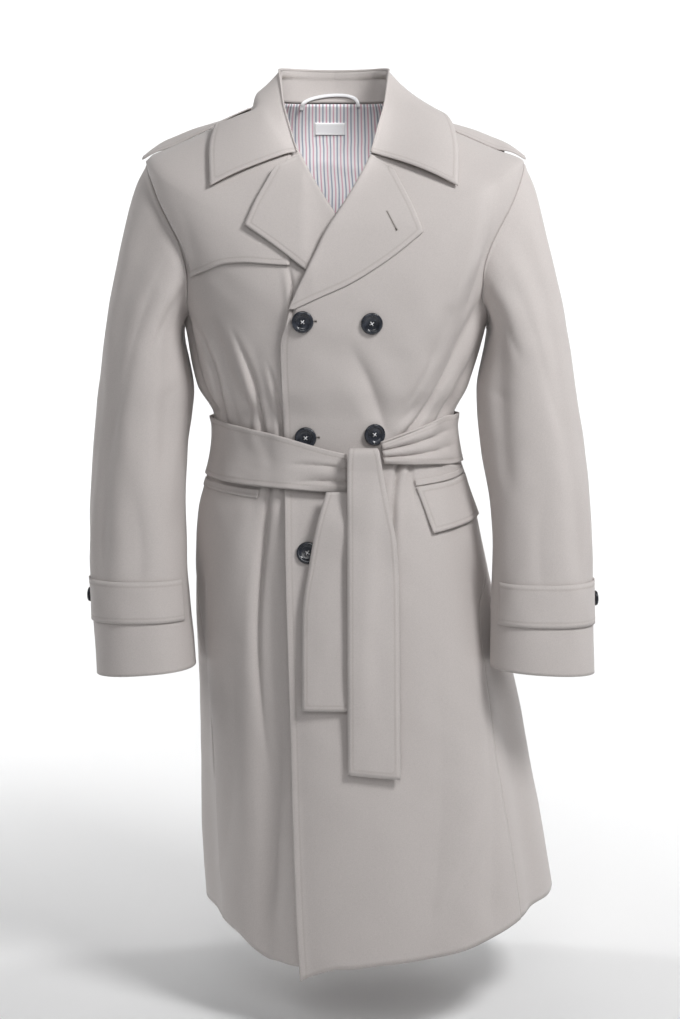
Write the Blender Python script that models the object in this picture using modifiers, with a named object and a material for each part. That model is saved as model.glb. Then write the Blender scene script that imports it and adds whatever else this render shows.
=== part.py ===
"""Belted double-breasted trench coat in its worn form, hollow, with no wearer.

Metres, +Z up, the front faces -Y. The origin is at the neck, level with the neck ends of the shoulder seams.
Left and right in the names are the wearer's, so left is +X. Every cut piece is its own object.
Places on the coat's form have an angle and a height: the angle is 0 at the centre front, +90 at the left
side and 180 at the centre back, and the height is that of the section where it passes the sides.
"""

import math

import bpy
import numpy as np
from mathutils import Matrix, Vector
from mathutils.bvhtree import BVHTree

# Cloth
WALL = 0.0016
FLAP_WALL = 0.0014
BELT_WALL = 0.0020
SEAM_GAP = 0.0004
LAY_GAP = 0.0007
LINING_GAP = 0.0006
LINING_WALL = 0.0010

# Heights of the form's sections at the sides
NECK = 0.0
SHOULDER = -0.082
ARMPIT = -0.290
WAIST = -0.450
HEM_SIDE = -1.032

# Depth of the armhole's curve as a share of the form's half depth
ARMHOLE_DEPTH = 0.66

# Sections of the coat's form, from the neck down. low_x and high_x are its right and left sides.
# front_z and back_z are how far the section dips at the centre front and the centre back.
SECTION_COLUMNS = (
    "height",
    "low_x",
    "high_x",
    "side_y",
    "front_y",
    "front_z",
    "back_y",
    "back_z",
    "squareness",
)
SECTIONS = (
    (0.000, -0.075, 0.075, 0.010, -0.078, -0.092, 0.075, 0.004, 2.0),
    (-0.020, -0.112, 0.112, 0.008, -0.096, -0.095, 0.092, -0.002, 2.1),
    (-0.043, -0.160, 0.161, 0.006, -0.110, -0.092, 0.104, -0.007, 2.3),
    (-0.064, -0.204, 0.206, 0.004, -0.118, -0.091, 0.112, -0.016, 2.5),
    (-0.082, -0.239, 0.245, 0.002, -0.124, -0.093, 0.118, -0.028, 2.7),
    (-0.120, -0.236, 0.241, 0.000, -0.129, -0.080, 0.123, -0.025, 2.8),
    (-0.180, -0.218, 0.223, 0.000, -0.134, -0.050, 0.127, -0.015, 2.8),
    (-0.240, -0.203, 0.207, 0.000, -0.136, -0.022, 0.127, -0.005, 2.6),
    (-0.290, -0.192, 0.196, 0.000, -0.135, -0.008, 0.124, 0.000, 2.4),
    (-0.370, -0.1765, 0.172, 0.000, -0.128, 0.000, 0.112, 0.000, 2.3),
    (-0.410, -0.155, 0.153, 0.000, -0.120, 0.000, 0.105, 0.000, 2.2),
    (-0.449, -0.156, 0.158, 0.000, -0.118, 0.000, 0.104, 0.000, 2.2),
    (-0.488, -0.165, 0.169, 0.000, -0.122, 0.000, 0.112, 0.000, 2.2),
    (-0.530, -0.175, 0.181, 0.004, -0.132, 0.000, 0.125, 0.000, 2.3),
    (-0.624, -0.179, 0.203, 0.014, -0.150, 0.000, 0.148, 0.000, 2.3),
    (-0.780, -0.175, 0.240, 0.028, -0.172, 0.000, 0.172, 0.000, 2.3),
    (-0.936, -0.170, 0.270, 0.036, -0.190, 0.000, 0.190, 0.000, 2.3),
    (-1.080, -0.164, 0.294, 0.040, -0.200, 0.000, 0.202, 0.000, 2.3),
)

# Edge of each front in front view, from the neck down: roll line, break, then front edge.
FRONT_EDGE_COLUMNS = ("z", "left_x", "right_x")
FRONT_EDGES = (
    (-0.030, 0.066, -0.062),
    (-0.046, 0.061, -0.056),
    (-0.080, 0.046, -0.041),
    (-0.132, 0.019, -0.012),
    (-0.156, 0.003, 0.003),
    (-0.225, -0.030, 0.036),
    (-0.258, -0.047, 0.050),
    (-0.286, -0.056, 0.058),
    (-0.320, -0.065, 0.066),
    (-0.427, -0.061, 0.066),
    (-0.580, -0.058, 0.068),
    (-0.755, -0.052, 0.074),
    (-0.912, -0.046, 0.080),
    (-1.080, -0.037, 0.085),
)

# How much lower than its side the hem hangs, by angle
HEM_COLUMNS = ("angle", "drop")
HEM_DROP = (
    (-180, -0.004),
    (-120, 0.000),
    (-90, 0.001),
    (-60, 0.002),
    (-50, 0.008),
    (-42, 0.023),
    (-35, 0.033),
    (-10, 0.030),
    (0, 0.0243),
    (20, 0.0130),
    (35, -0.0005),
    (50, -0.012),
    (65, -0.016),
    (90, -0.015),
    (130, -0.008),
    (180, -0.004),
)

# Folds of the body. Angles are at the fold's upper and lower end, width is its half width, depth is inwards.
FOLD_COLUMNS = ("name", "top_z", "low_z", "top_angle", "low_angle", "width", "depth")
FOLDS = (
    ("right_side_pull", -0.200, -0.425, -80, -67, 5.5, 0.0060),
    ("right_chest_pull", -0.250, -0.428, -54, -36, 5.0, 0.0055),
    ("right_edge_pull", -0.300, -0.430, -31, -24, 4.0, 0.0035),
    ("left_chest_pull", -0.220, -0.430, 72, 33, 5.5, 0.0055),
    ("left_side_pull", -0.280, -0.425, 78, 62, 5.0, 0.0050),
    ("middle_drape", -0.290, -0.420, -6, 22, 6.0, 0.0030),
    ("back_pull_right", -0.220, -0.425, -150, -128, 7.0, 0.0060),
    ("back_pull_left", -0.220, -0.425, 150, 126, 7.0, 0.0060),
    ("back_middle_drape", -0.300, -0.425, 172, 176, 6.0, 0.0045),
    ("skirt_right_front", -0.480, -1.200, -27, -36, 6.0, 0.0080),
    ("skirt_right_side", -0.560, -1.200, -72, -70, 9.0, 0.0075),
    ("skirt_left_front", -0.620, -1.200, 14, 8, 9.0, 0.0045),
    ("skirt_left_side", -0.560, -1.200, 62, 56, 8.0, 0.0085),
    ("skirt_back_left", -0.500, -1.200, 118, 116, 9.0, 0.0110),
    ("skirt_back_middle", -0.500, -1.200, 160, 166, 9.0, 0.0120),
    ("skirt_back_right", -0.520, -1.200, -148, -152, 9.0, 0.0110),
    ("skirt_back_side", -0.540, -1.200, -112, -110, 8.0, 0.0090),
)
FOLD_FADE = 0.075

# Sleeves, from the armhole to the cuff. out and in are the outer and inner outlines in front view.
SLEEVE_COLUMNS = ("out_x", "out_z", "in_x", "in_z", "middle_y", "half_depth", "squareness")
RIGHT_SLEEVE = (
    (-0.2560, -0.096, -0.1950, -0.2935, 0.000, 0.090, 2.1),
    (-0.2700, -0.126, -0.1975, -0.2985, -0.002, 0.092, 2.1),
    (-0.2795, -0.172, -0.1975, -0.3060, -0.004, 0.092, 2.2),
    (-0.2870, -0.228, -0.1945, -0.3180, -0.007, 0.090, 2.2),
    (-0.2945, -0.290, -0.1880, -0.3400, -0.010, 0.087, 2.2),
    (-0.3005, -0.352, -0.1820, -0.3760, -0.014, 0.083, 2.2),
    (-0.3045, -0.405, -0.1860, -0.4080, -0.018, 0.079, 2.2),
    (-0.3075, -0.455, -0.1910, -0.4550, -0.024, 0.076, 2.2),
    (-0.3100, -0.520, -0.1925, -0.5200, -0.033, 0.073, 2.3),
    (-0.3085, -0.585, -0.1895, -0.5850, -0.043, 0.070, 2.4),
    (-0.3045, -0.650, -0.1835, -0.6500, -0.053, 0.067, 2.4),
    (-0.3000, -0.700, -0.1780, -0.6950, -0.060, 0.065, 2.4),
    (-0.2980, -0.729, -0.1755, -0.7210, -0.064, 0.064, 2.4),
)
LEFT_SLEEVE = (
    (0.2575, -0.092, 0.1985, -0.2935, 0.000, 0.090, 2.1),
    (0.2685, -0.122, 0.2005, -0.2985, -0.002, 0.092, 2.1),
    (0.2775, -0.170, 0.2005, -0.3060, -0.004, 0.092, 2.2),
    (0.2885, -0.228, 0.1965, -0.3180, -0.007, 0.090, 2.2),
    (0.2985, -0.290, 0.1900, -0.3400, -0.011, 0.087, 2.2),
    (0.3075, -0.352, 0.1835, -0.3760, -0.018, 0.083, 2.2),
    (0.3140, -0.405, 0.1850, -0.4080, -0.027, 0.079, 2.2),
    (0.3190, -0.455, 0.1905, -0.4550, -0.037, 0.076, 2.2),
    (0.3225, -0.520, 0.1995, -0.5200, -0.054, 0.071, 2.3),
    (0.3235, -0.585, 0.2015, -0.5850, -0.074, 0.066, 2.3),
    (0.3230, -0.650, 0.1985, -0.6500, -0.090, 0.062, 2.3),
    (0.3225, -0.695, 0.1960, -0.6880, -0.100, 0.060, 2.3),
    (0.3225, -0.722, 0.1950, -0.7150, -0.105, 0.059, 2.3),
)
SLEEVE_BLEND_RINGS = 5
SLEEVE_RINGS = 18
SLEEVE_HEAD_GAP = 0.0023
SLEEVE_RING_SPREAD = 1.25

# Long folds of the sleeves: angle 0 is the outer side, 90 the front, 180 the inner side. Depth is inwards.
SLEEVE_FOLD_COLUMNS = ("top_z", "low_z", "top_angle", "low_angle", "width", "depth")
SLEEVE_FOLDS = (
    (-0.130, -0.640, 62, 50, 14.0, 0.0060),
    (-0.240, -0.520, 118, 132, 13.0, 0.0055),
    (-0.180, -0.560, -70, -62, 15.0, 0.0060),
    (-0.300, -0.600, -128, -120, 14.0, 0.0050),
)

# Half of the collar, from its front end to the centre back; x is mirrored for the other half.
COLLAR_COLUMNS = ("roll_x", "roll_y", "roll_z", "edge_x", "edge_y", "edge_z", "neck_angle", "bulge")
COLLAR = (
    (0.048, -0.078, -0.077, 0.154, -0.108, -0.120, 44, 0.006),
    (0.057, -0.055, -0.043, 0.157, -0.068, -0.070, 54, 0.006),
    (0.067, -0.020, 0.000, 0.151, -0.026, -0.031, 72, 0.003),
    (0.071, 0.018, 0.040, 0.139, 0.018, -0.0145, 92, -0.004),
    (0.056, 0.058, 0.0465, 0.118, 0.066, -0.014, 122, -0.002),
    (0.028, 0.076, 0.0475, 0.068, 0.099, -0.024, 150, 0.006),
    (0.000, 0.080, 0.0475, 0.000, 0.108, -0.031, 180, 0.008),
)

# Lapels in front view, from the notch down to the break: roll line and outer edge.
LAPEL_COLUMNS = ("roll_x", "roll_z", "edge_x", "edge_z")
LEFT_LAPEL = (
    (0.0490, -0.0800, 0.0740, -0.0965),
    (0.0400, -0.0980, 0.0830, -0.1150),
    (0.0270, -0.1220, 0.0970, -0.1440),
    (0.0130, -0.1460, 0.1105, -0.1780),
    (-0.0070, -0.1780, 0.0710, -0.2100),
    (-0.0280, -0.2220, 0.0190, -0.2430),
    (-0.0440, -0.2520, -0.0190, -0.2600),
    (-0.0540, -0.2740, -0.0485, -0.2735),
)
RIGHT_LAPEL = (
    (-0.0440, -0.0800, -0.0740, -0.0960),
    (-0.0350, -0.0980, -0.0830, -0.1130),
    (-0.0210, -0.1220, -0.0965, -0.1380),
    (-0.0080, -0.1440, -0.1100, -0.1690),
    (0.0080, -0.1700, -0.0720, -0.1960),
    (0.0270, -0.2120, -0.0230, -0.2330),
    (0.0430, -0.2480, 0.0200, -0.2560),
    (0.0500, -0.2640, 0.0440, -0.2650),
)
LAPEL_ROLL_LIFT = 0.0030
LAPEL_ROLL_FADE = 0.040
LEFT_ROLL_LOW = -0.260
RIGHT_ROLL_LOW = -0.140

# How far round a place the cloth below a lapel is looked for
LAPEL_REACH = 0.017
LAPEL_REACH_UP = 0.005
LAPEL_REACH_UP_BREAK = 0.013
LAPEL_BREAK_X = -0.025

# Storm flap on the right chest: lower edge in front view, and the x of its inner edge.
STORM_EDGE_COLUMNS = ("share", "height")
STORM_EDGE = ((0.0, -0.222), (0.25, -0.205), (0.5, -0.185), (0.75, -0.170), (1.0, -0.160))
STORM_INNER_X = -0.054

# Belt round the waist, from the knot round the right side and the back. stand is its gap to the cloth.
BELT_COLUMNS = ("angle", "top_z", "low_z", "stand")
BELT_BAND = (
    (4.0, -0.4520, -0.5015, 0.0070),
    (-24, -0.4280, -0.4955, 0.0070),
    (-45, -0.4190, -0.4915, 0.0050),
    (-66, -0.4130, -0.4870, 0.0010),
    (-90, -0.4095, -0.4820, 0.0014),
    (-135, -0.4060, -0.4730, 0.0009),
    (-180, -0.4050, -0.4700, 0.0007),
    (-225, -0.4040, -0.4690, 0.0011),
    (-270, -0.4035, -0.4680, 0.0014),
    (-296, -0.4080, -0.4690, 0.0010),
    (-324, -0.4220, -0.4680, 0.0055),
    (-341.4, -0.4370, -0.4650, 0.0060),
)

# Hanging ends of the belt in front view. y is where it hangs free in front of the knot.
BELT_END_COLUMNS = ("z", "left_x", "right_x", "y")
BELT_FRONT_TOP = (
    (-0.4450, 0.0200, 0.0530, -0.1390),
    (-0.4448, 0.0190, 0.0540, -0.1455),
    (-0.4490, 0.0175, 0.0560, -0.1515),
    (-0.4600, 0.0165, 0.0580, -0.1522),
    (-0.4760, 0.0163, 0.0605, -0.1522),
)
BELT_FRONT_FALL = (
    (-0.4950, 0.0163, 0.0640, -0.1522),
    (-0.5200, 0.0163, 0.0690, -0.1534),
    (-0.5600, 0.0163, 0.0765, -0.1540),
    (-0.6200, 0.0163, 0.0795, -0.1540),
    (-0.8320, 0.0170, 0.0800, -0.1540),
)
BELT_BEHIND_FALL = (
    (-0.4970, -0.0090, 0.0330, -0.1450),
    (-0.5400, -0.0215, 0.0320, -0.1540),
    (-0.5800, -0.0290, 0.0300, -0.1540),
    (-0.6500, -0.0385, 0.0260, -0.1480),
    (-0.7580, -0.0385, 0.0240, -0.1480),
)
KNOT_MIDDLE = (0.0365, -0.1402, -0.4715)
KNOT_SIZE = (0.0370, 0.0205, 0.0500)
KNOT_EDGE = 0.007

# How far round a place the cloth below the belt's parts is looked for
BAND_REACH = 0.012
END_BEHIND_REACH = 0.008
END_FRONT_REACH = 0.022
END_REACH_UP = 0.030

# Pockets: angle and height of the corners, upper front, upper side, lower side, lower front.
FLAP_LEFT = ((33.0, -0.4960), (82.0, -0.4830), (82.0, -0.5380), (36.0, -0.5520))
WELT_LEFT = ((33.0, -0.4865), (82.0, -0.4745), (82.0, -0.4815), (33.0, -0.4940))
WELT_RIGHT = ((-84.0, -0.4885), (-31.0, -0.4975), (-31.0, -0.5070), (-84.0, -0.4980))
FLAP_STAND_OFF = 0.0030

# Buttons: radius and height, and the places of the large ones in front view
BUTTON_RADIUS = 0.0135
BUTTON_HEIGHT = 0.0038
SMALL_BUTTON_RADIUS = 0.0095
SMALL_BUTTON_HEIGHT = 0.0032
BUTTON_STEPS = 20
BUTTON_COLUMNS = ("name", "x", "z")
BUTTONS = (
    ("button_1", -0.0380, -0.2890),
    ("button_2", 0.0465, -0.2910),
    ("button_3", -0.0345, -0.4322),
    ("button_4", 0.0498, -0.4280),
    ("button_5", -0.0317, -0.5716),
    ("button_6", 0.0487, -0.5716),
)

# Epaulettes: from below the collar to past the shoulder. rise is the arch above the shoulder, tilt is how
# far the front edge hangs.
EPAULETTE_COLUMNS = ("x", "rise", "half_width", "tilt")
EPAULETTE = (
    (0.108, 0.0000, 0.0255, 0.000),
    (0.130, 0.0030, 0.0250, 0.002),
    (0.160, 0.0085, 0.0240, 0.006),
    (0.190, 0.0130, 0.0230, 0.009),
    (0.215, 0.0140, 0.0225, 0.010),
    (0.236, 0.0105, 0.0220, 0.008),
    (0.248, 0.0060, 0.0180, 0.005),
)
EPAULETTE_BUTTON_X = 0.212
EPAULETTE_BUTTON_Y = 0.004
EPAULETTE_MIDDLE_HEIGHT = -0.04
EPAULETTE_REACH = 0.006
SHOULDER_END_X = 0.232
SHOULDER_END_SLOPE = 0.45

# Cuff straps: height on the sleeve and how far round it they reach
CUFF_STRAP_TOP = -0.611
CUFF_STRAP_LOW = -0.662
CUFF_STRAP_START = 168
CUFF_STRAP_END = -32
CUFF_BUTTON_ANGLE = -6

# Neck label and hanger loop
LABEL_MIDDLE = (-0.006, -0.028)
LABEL_SIZE = (0.040, 0.016)
LOOP_MIDDLE = (-0.006, -0.004)
LOOP_HALF_SPAN = 0.040
LOOP_HEIGHT = 0.021
LOOP_WIDTH = 0.007

# Side seams' angles at shares of the skirt's length
SEAM_COLUMNS = ("share", "left", "right")
SIDE_SEAMS = (
    (0.00, 90.0, 90.0),
    (0.14, 85.0, 88.0),
    (0.31, 62.0, 79.0),
    (0.50, 50.5, 66.0),
    (0.65, 47.5, 62.0),
    (1.00, 46.0, 61.0),
)

# Rows and columns of the panels
SKIRT_TOP = -0.490
SKIRT_STEPS = 11
BODICE_STEPS = 8
ARMHOLE_STEPS = 8
YOKE_STEPS = 4
FRONT_COLUMNS = 12
BACK_COLUMNS = 16
LINING_TRIM = 2
LAPEL_STEPS_DOWN = 12
LAPEL_STEPS_OUT = 6
STORM_ROWS = 6
STORM_YOKE_ROWS = 3
STORM_STEPS = 10
STORM_LIFT = 0.0019
STORM_TRIM = 0.09
STORM_TOP = -0.014
COLLAR_STEPS = 32
FALL_ROWS = 6
COLLAR_STAND_OFF = 0.0042
STAND_ROWS = 3
STAND_FIRST = 4
STAND_INSET = 0.0026
STAND_TOP_INSET = 0.0019
BELT_ROWS = 3
BELT_STEPS = 48
BELT_END_ROWS = 14
BELT_END_STEPS = 3
EPAULETTE_ROWS = 4
EPAULETTE_STEPS = 10
CUFF_STEPS = 20
LOOP_STEPS = 12
CORNER_DROOP = 0.0150
CORNER_SHARE = 0.16
CORNER_CURVE = 1.3
LINING_LOW = -0.400

COLLECTION = "trench_coat"
CLOTH_COLOUR = (0.58, 0.54, 0.51, 1.0)
LINING_COLOUR = (0.86, 0.82, 0.85, 1.0)
WHITE_COLOUR = (0.90, 0.90, 0.90, 1.0)
BUTTON_COLOUR = (0.03, 0.035, 0.045, 1.0)


# ---------------------------------------------------------------- curves and the form


def curve_through(keys, values):
    """A smooth curve that keeps to the values' rises and falls, and is flat past both ends."""
    order = np.argsort(keys)
    xs = np.asarray(keys, float)[order]
    ys = np.asarray(values, float)[order]
    step = np.diff(xs)
    slope = np.diff(ys) / step
    tangent = np.zeros(len(xs))
    tangent[0] = slope[0]
    tangent[-1] = slope[-1]
    for i in range(1, len(xs) - 1):
        if slope[i - 1] * slope[i] > 0:
            first = 2 * step[i] + step[i - 1]
            second = step[i] + 2 * step[i - 1]
            tangent[i] = (first + second) / (first / slope[i - 1] + second / slope[i])

    def value(x):
        x = min(max(x, xs[0]), xs[-1])
        i = min(max(int(np.searchsorted(xs, x)) - 1, 0), len(step) - 1)
        t = (x - xs[i]) / step[i]
        rise = ys[i] * (2 * t**3 - 3 * t**2 + 1) + ys[i + 1] * (3 * t**2 - 2 * t**3)
        bend = tangent[i] * (t**3 - 2 * t**2 + t) + tangent[i + 1] * (t**3 - t**2)
        return float(rise + bend * step[i])

    return value


def table_curves(rows, columns, key=None):
    """One curve for each column of a table, over its key column or over its row numbers."""
    keys = [row[columns.index(key)] for row in rows] if key else list(range(len(rows)))
    return {
        name: curve_through(keys, [row[i] for row in rows]) for i, name in enumerate(columns) if name != key
    }


def smooth_step(t):
    t = min(max(t, 0.0), 1.0)
    return t * t * (3 - 2 * t)


def mix(a, b, t):
    return a + (b - a) * t


def signed_power(value, power):
    return math.copysign(abs(value) ** power, value)


SECTION = table_curves(SECTIONS, SECTION_COLUMNS, "height")
SEAM = table_curves(SIDE_SEAMS, SEAM_COLUMNS, "share")
EDGE = table_curves(FRONT_EDGES, FRONT_EDGE_COLUMNS, "z")
HEM_FALL = table_curves(HEM_DROP, HEM_COLUMNS, "angle")["drop"]
LEFT_FRONT_LIFT = curve_through(
    (0.0, -0.030, -0.060, -0.090, -0.270, -0.330, -1.080),
    (0.0000, 0.0004, 0.0040, 0.0084, 0.0076, 0.0044, 0.0032),
)
LIFT_START_ANGLE = 54
LIFT_FULL_ANGLE = 38


def form(angle, height):
    """A point of the coat's smooth form."""
    turn = math.radians(angle)
    power = 2 / SECTION["squareness"](height)
    low_x = SECTION["low_x"](height)
    high_x = SECTION["high_x"](height)
    side_y = SECTION["side_y"](height)
    face = "front" if math.cos(turn) > 0 else "back"
    depth = SECTION[face + "_y"](height) - side_y
    dip = SECTION[face + "_z"](height) * math.cos(turn) ** 2
    x = (low_x + high_x) / 2 + (high_x - low_x) / 2 * signed_power(math.sin(turn), power)
    return Vector((x, side_y + depth * abs(math.cos(turn)) ** power, height + dip))


def form_normal(angle, height):
    """The direction out of the form."""
    along = form(angle + 0.5, height) - form(angle - 0.5, height)
    up = form(angle, height + 0.002) - form(angle, height - 0.002)
    return along.cross(up).normalized()


def fold_depth(angle, z):
    """How far the folds press the cloth inwards here."""
    total = 0.0
    for _, top_z, low_z, top_angle, low_angle, width, depth in FOLDS:
        share = min(max((top_z - z) / (top_z - low_z), 0.0), 1.0)
        away = (angle - mix(top_angle, low_angle, share) + 180) % 360 - 180
        fade = smooth_step((top_z - z) / FOLD_FADE) * smooth_step((z - low_z) / (FOLD_FADE / 2))
        total += depth * fade * math.exp(-((away / width) ** 2))
    return total


def skirt_share(height):
    return min(max((SKIRT_TOP - height) / (SKIRT_TOP - HEM_SIDE), 0.0), 1.0)


def hung(angle, height):
    """The height in the skirt's rows, stretched so that the last row is the hem."""
    return height - HEM_FALL((angle + 180) % 360 - 180) * skirt_share(height)


def cloth(angle, height, lift=0.0):
    """A point of the cloth: the form with its folds, moved out by lift."""
    height = hung(angle, height)
    point = form(angle, height)
    return point + form_normal(angle, height) * (lift - fold_depth(angle, point.z))


def left_lift(angle, height):
    """How far the left front lies out of the form, over the right front and the right lapel."""
    turned = smooth_step((LIFT_START_ANGLE - angle) / (LIFT_START_ANGLE - LIFT_FULL_ANGLE))
    return LEFT_FRONT_LIFT(height) * turned


def armhole_angle(height, side):
    """How far from the centre front (side +1) or centre back (side -1) the armhole is, in degrees."""
    share = (height - ARMPIT) / (SHOULDER - ARMPIT)
    if not 0 < share < 1:
        return 90.0
    arc = math.sin(math.acos(1 - 2 * share))
    squareness = SECTION["squareness"](height)
    return math.degrees(math.acos((ARMHOLE_DEPTH * arc) ** (squareness / 2)))


def side_seam(height, sign):
    """The side seam's angle from the centre front, which moves forwards down the skirt."""
    return SEAM["left" if sign > 0 else "right"](skirt_share(height))


def front_outer(height, sign):
    """A front's outer edge: shoulder seam, armhole, then side seam."""
    if height > ARMPIT:
        return sign * armhole_angle(height, 1)
    return sign * side_seam(height, sign)


def angle_at_edge(height, edge_x):
    """The angle on a row where its x meets an edge that is given as x for each z."""
    low, high = -75.0, 75.0
    for _ in range(40):
        middle = (low + high) / 2
        point = form(middle, hung(middle, height))
        if point.x < edge_x(point.z):
            low = middle
        else:
            high = middle
    return (low + high) / 2


def row_heights():
    """Heights of the panels' rows, from the hem up to the neck."""
    skirt = [mix(HEM_SIDE, SKIRT_TOP, i / SKIRT_STEPS) for i in range(SKIRT_STEPS)]
    bodice = [mix(SKIRT_TOP, ARMPIT, i / BODICE_STEPS) for i in range(BODICE_STEPS)]
    armhole = [
        mix(ARMPIT, SHOULDER, (1 - math.cos(math.pi * i / ARMHOLE_STEPS)) / 2) for i in range(ARMHOLE_STEPS)
    ]
    yoke = [mix(SHOULDER, NECK, i / YOKE_STEPS) for i in range(YOKE_STEPS + 1)]
    return skirt + bodice + armhole + yoke


ROWS = row_heights()


# ---------------------------------------------------------------- making objects


def clear_scene():
    for thing in list(bpy.data.objects):
        bpy.data.objects.remove(thing, do_unlink=True)


def new_collection(name):
    collection = bpy.data.collections.new(name)
    bpy.context.scene.collection.children.link(collection)
    return collection


def new_material(name, colour, roughness):
    material = bpy.data.materials.new(name)
    material.use_nodes = True
    shader = material.node_tree.nodes["Principled BSDF"]
    shader.inputs["Base Color"].default_value = colour
    shader.inputs["Roughness"].default_value = roughness
    shader.inputs["Metallic"].default_value = 0.0
    return material


def add_object(name, points, faces, material, collection):
    mesh = bpy.data.meshes.new(name)
    mesh.from_pydata([tuple(point) for point in points], [], faces)
    mesh.validate()
    mesh.materials.append(material)
    thing = bpy.data.objects.new(name, mesh)
    collection.objects.link(thing)
    return thing


def grid_faces(rows, columns, closed=False):
    """Quads of a grid whose columns run round and whose rows run up, facing out."""
    wide = columns if closed else columns - 1
    faces = []
    for i in range(rows - 1):
        for j in range(wide):
            k = (j + 1) % columns
            faces.append((i * columns + j, i * columns + k, (i + 1) * columns + k, (i + 1) * columns + j))
    return faces


def add_shell(name, grid, wall, material, collection, closed=False):
    """Cloth of even thickness, half of it on each side of a grid of points."""
    points = [point for row in grid for point in row]
    thing = add_object(name, points, grid_faces(len(grid), len(grid[0]), closed), material, collection)
    thing.data.shade_smooth()
    solid = thing.modifiers.new("wall", "SOLIDIFY")
    solid.thickness = wall
    solid.offset = 0.0
    return thing


def pulled_in(grid, first, last):
    """The grid with its first and last columns moved in by the given distances."""
    for row in grid:
        if first:
            row[0] = row[0] + (row[1] - row[0]).normalized() * first
        if last:
            row[-1] = row[-1] + (row[-2] - row[-1]).normalized() * last
    return grid


def grid_tree(grids):
    """A search tree of the middle surfaces of some pieces."""
    points = []
    faces = []
    for grid in grids:
        base = len(points)
        points += [point for row in grid for point in row]
        faces += [tuple(base + i for i in face) for face in grid_faces(len(grid), len(grid[0]))]
    return BVHTree.FromPolygons(points, faces)


def outermost(tree, point, normal, reach):
    """The distance of the cloth along a normal, the outermost of five places near the point."""
    side = Vector((0, 0, 1)).cross(normal).normalized()
    up = normal.cross(side)
    found = []
    for shift in (Vector(), side, -side, up, -up):
        start = point + shift * reach + normal * 0.05
        hit = tree.ray_cast(start, -normal, 0.1)[0]
        if hit is not None:
            found.append((hit - point).dot(normal))
    return max(found) if found else 0.0


def seated(tree, place, normal, radius, under):
    """Where a button's base stands clear of the cloth all round, with under for the cloth's half wall."""
    side = Vector((0, 0, 1)).cross(normal).normalized()
    up = normal.cross(side)
    lift = 0.0
    for i in range(12):
        turn = math.tau * i / 12
        start = place + (side * math.cos(turn) + up * math.sin(turn)) * radius + normal * 0.02
        hit = tree.ray_cast(start, -normal, 0.04)[0]
        if hit is not None:
            lift = max(lift, (hit - place).dot(normal))
    return place + normal * (lift + under + 0.5 * LAY_GAP)


def laid(tree, angle, height, offset, reach=0.008):
    """A point that lies off the cloth by offset, at a place on the form."""
    height = hung(angle, height)
    point = form(angle, height)
    normal = form_normal(angle, height)
    return point + normal * (outermost(tree, point, normal, reach) + offset)


def forward_y(tree, x, z, reach=0.008, reach_z=0.008):
    """The foremost y of the cloth near a place in front view, or None past its edge."""
    found = []
    for across in (-1.0, 0.0, 1.0):
        for along in (-1.0, -0.5, -0.15, 0.0, 0.15, 0.5, 1.0):
            start = Vector((x + across * reach, -1.0, z + along * reach_z))
            hit = tree.ray_cast(start, Vector((0, 1, 0)))[0]
            if hit is not None:
                found.append(hit.y)
    return min(found) if found else None


def lay_on_front(tree, rows, offset):
    """Rows of (x, z, extra) laid on the cloth in front view, offset and extra in front of it."""
    grid = []
    for row in rows:
        line = []
        for x, z, extra in row:
            reach_up = LAPEL_REACH_UP_BREAK if x < LAPEL_BREAK_X else LAPEL_REACH_UP
            y = forward_y(tree, x, z, LAPEL_REACH, reach_up)
            if y is None:
                y = line[-1].y + offset
            line.append(Vector((x, y - offset - extra, z)))
        grid.append(line)
    return grid


def add_button(name, radius, height, place, normal, material, collection):
    """A turned button with a raised rim and a sunk middle."""
    outline = (
        (0.0, 0.55 * height),
        (0.60 * radius, 0.55 * height),
        (0.72 * radius, height),
        (0.90 * radius, height),
        (radius, 0.72 * height),
        (radius, 0.30 * height),
        (0.88 * radius, 0.0),
        (0.0, 0.0),
    )
    points = [(x, 0.0, z) for x, z in outline]
    edges = [(i, i + 1) for i in range(len(points) - 1)]
    mesh = bpy.data.meshes.new(name)
    mesh.from_pydata(points, edges, [])
    mesh.materials.append(material)
    button = bpy.data.objects.new(name, mesh)
    collection.objects.link(button)
    turn = button.modifiers.new("turn", "SCREW")
    turn.axis = "Z"
    turn.steps = BUTTON_STEPS
    turn.render_steps = BUTTON_STEPS
    turn.use_merge_vertices = True
    turn.merge_threshold = 0.00001
    button.location = place
    button.rotation_mode = "QUATERNION"
    button.rotation_quaternion = Vector(normal).to_track_quat("Z", "Y")
    return button


# ---------------------------------------------------------------- the pieces


def front_grid(sign):
    """The left (+1) or right (-1) front, from the hem up, with columns by rising angle."""
    edge_x = EDGE["left_x"] if sign > 0 else EDGE["right_x"]
    grid = []
    for height in ROWS:
        outer = front_outer(height, sign)
        inner = angle_at_edge(height, edge_x)
        row = []
        for i in range(FRONT_COLUMNS + 1):
            angle = mix(inner, outer, i / FRONT_COLUMNS)
            lift = left_lift(angle, height) if sign > 0 else 0.0
            point = cloth(angle, height, lift)
            if sign > 0:
                corner = max(0.0, 1 - i / FRONT_COLUMNS / CORNER_SHARE)
                point.z -= CORNER_DROOP * corner**CORNER_CURVE * skirt_share(height) ** 3
            row.append(point)
        grid.append(row if sign > 0 else row[::-1])
    if sign > 0:
        return pulled_in(grid, 0.0, SEAM_GAP / 2)
    return pulled_in(grid, SEAM_GAP / 2, 0.0)


def back_angles(height):
    """First and last angle of the back on a row, from the left side round to the right side."""
    if height > ARMPIT:
        out = 180 - armhole_angle(height, -1)
        return out, 360 - out
    return side_seam(height, 1), 360 - side_seam(height, -1)


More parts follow.
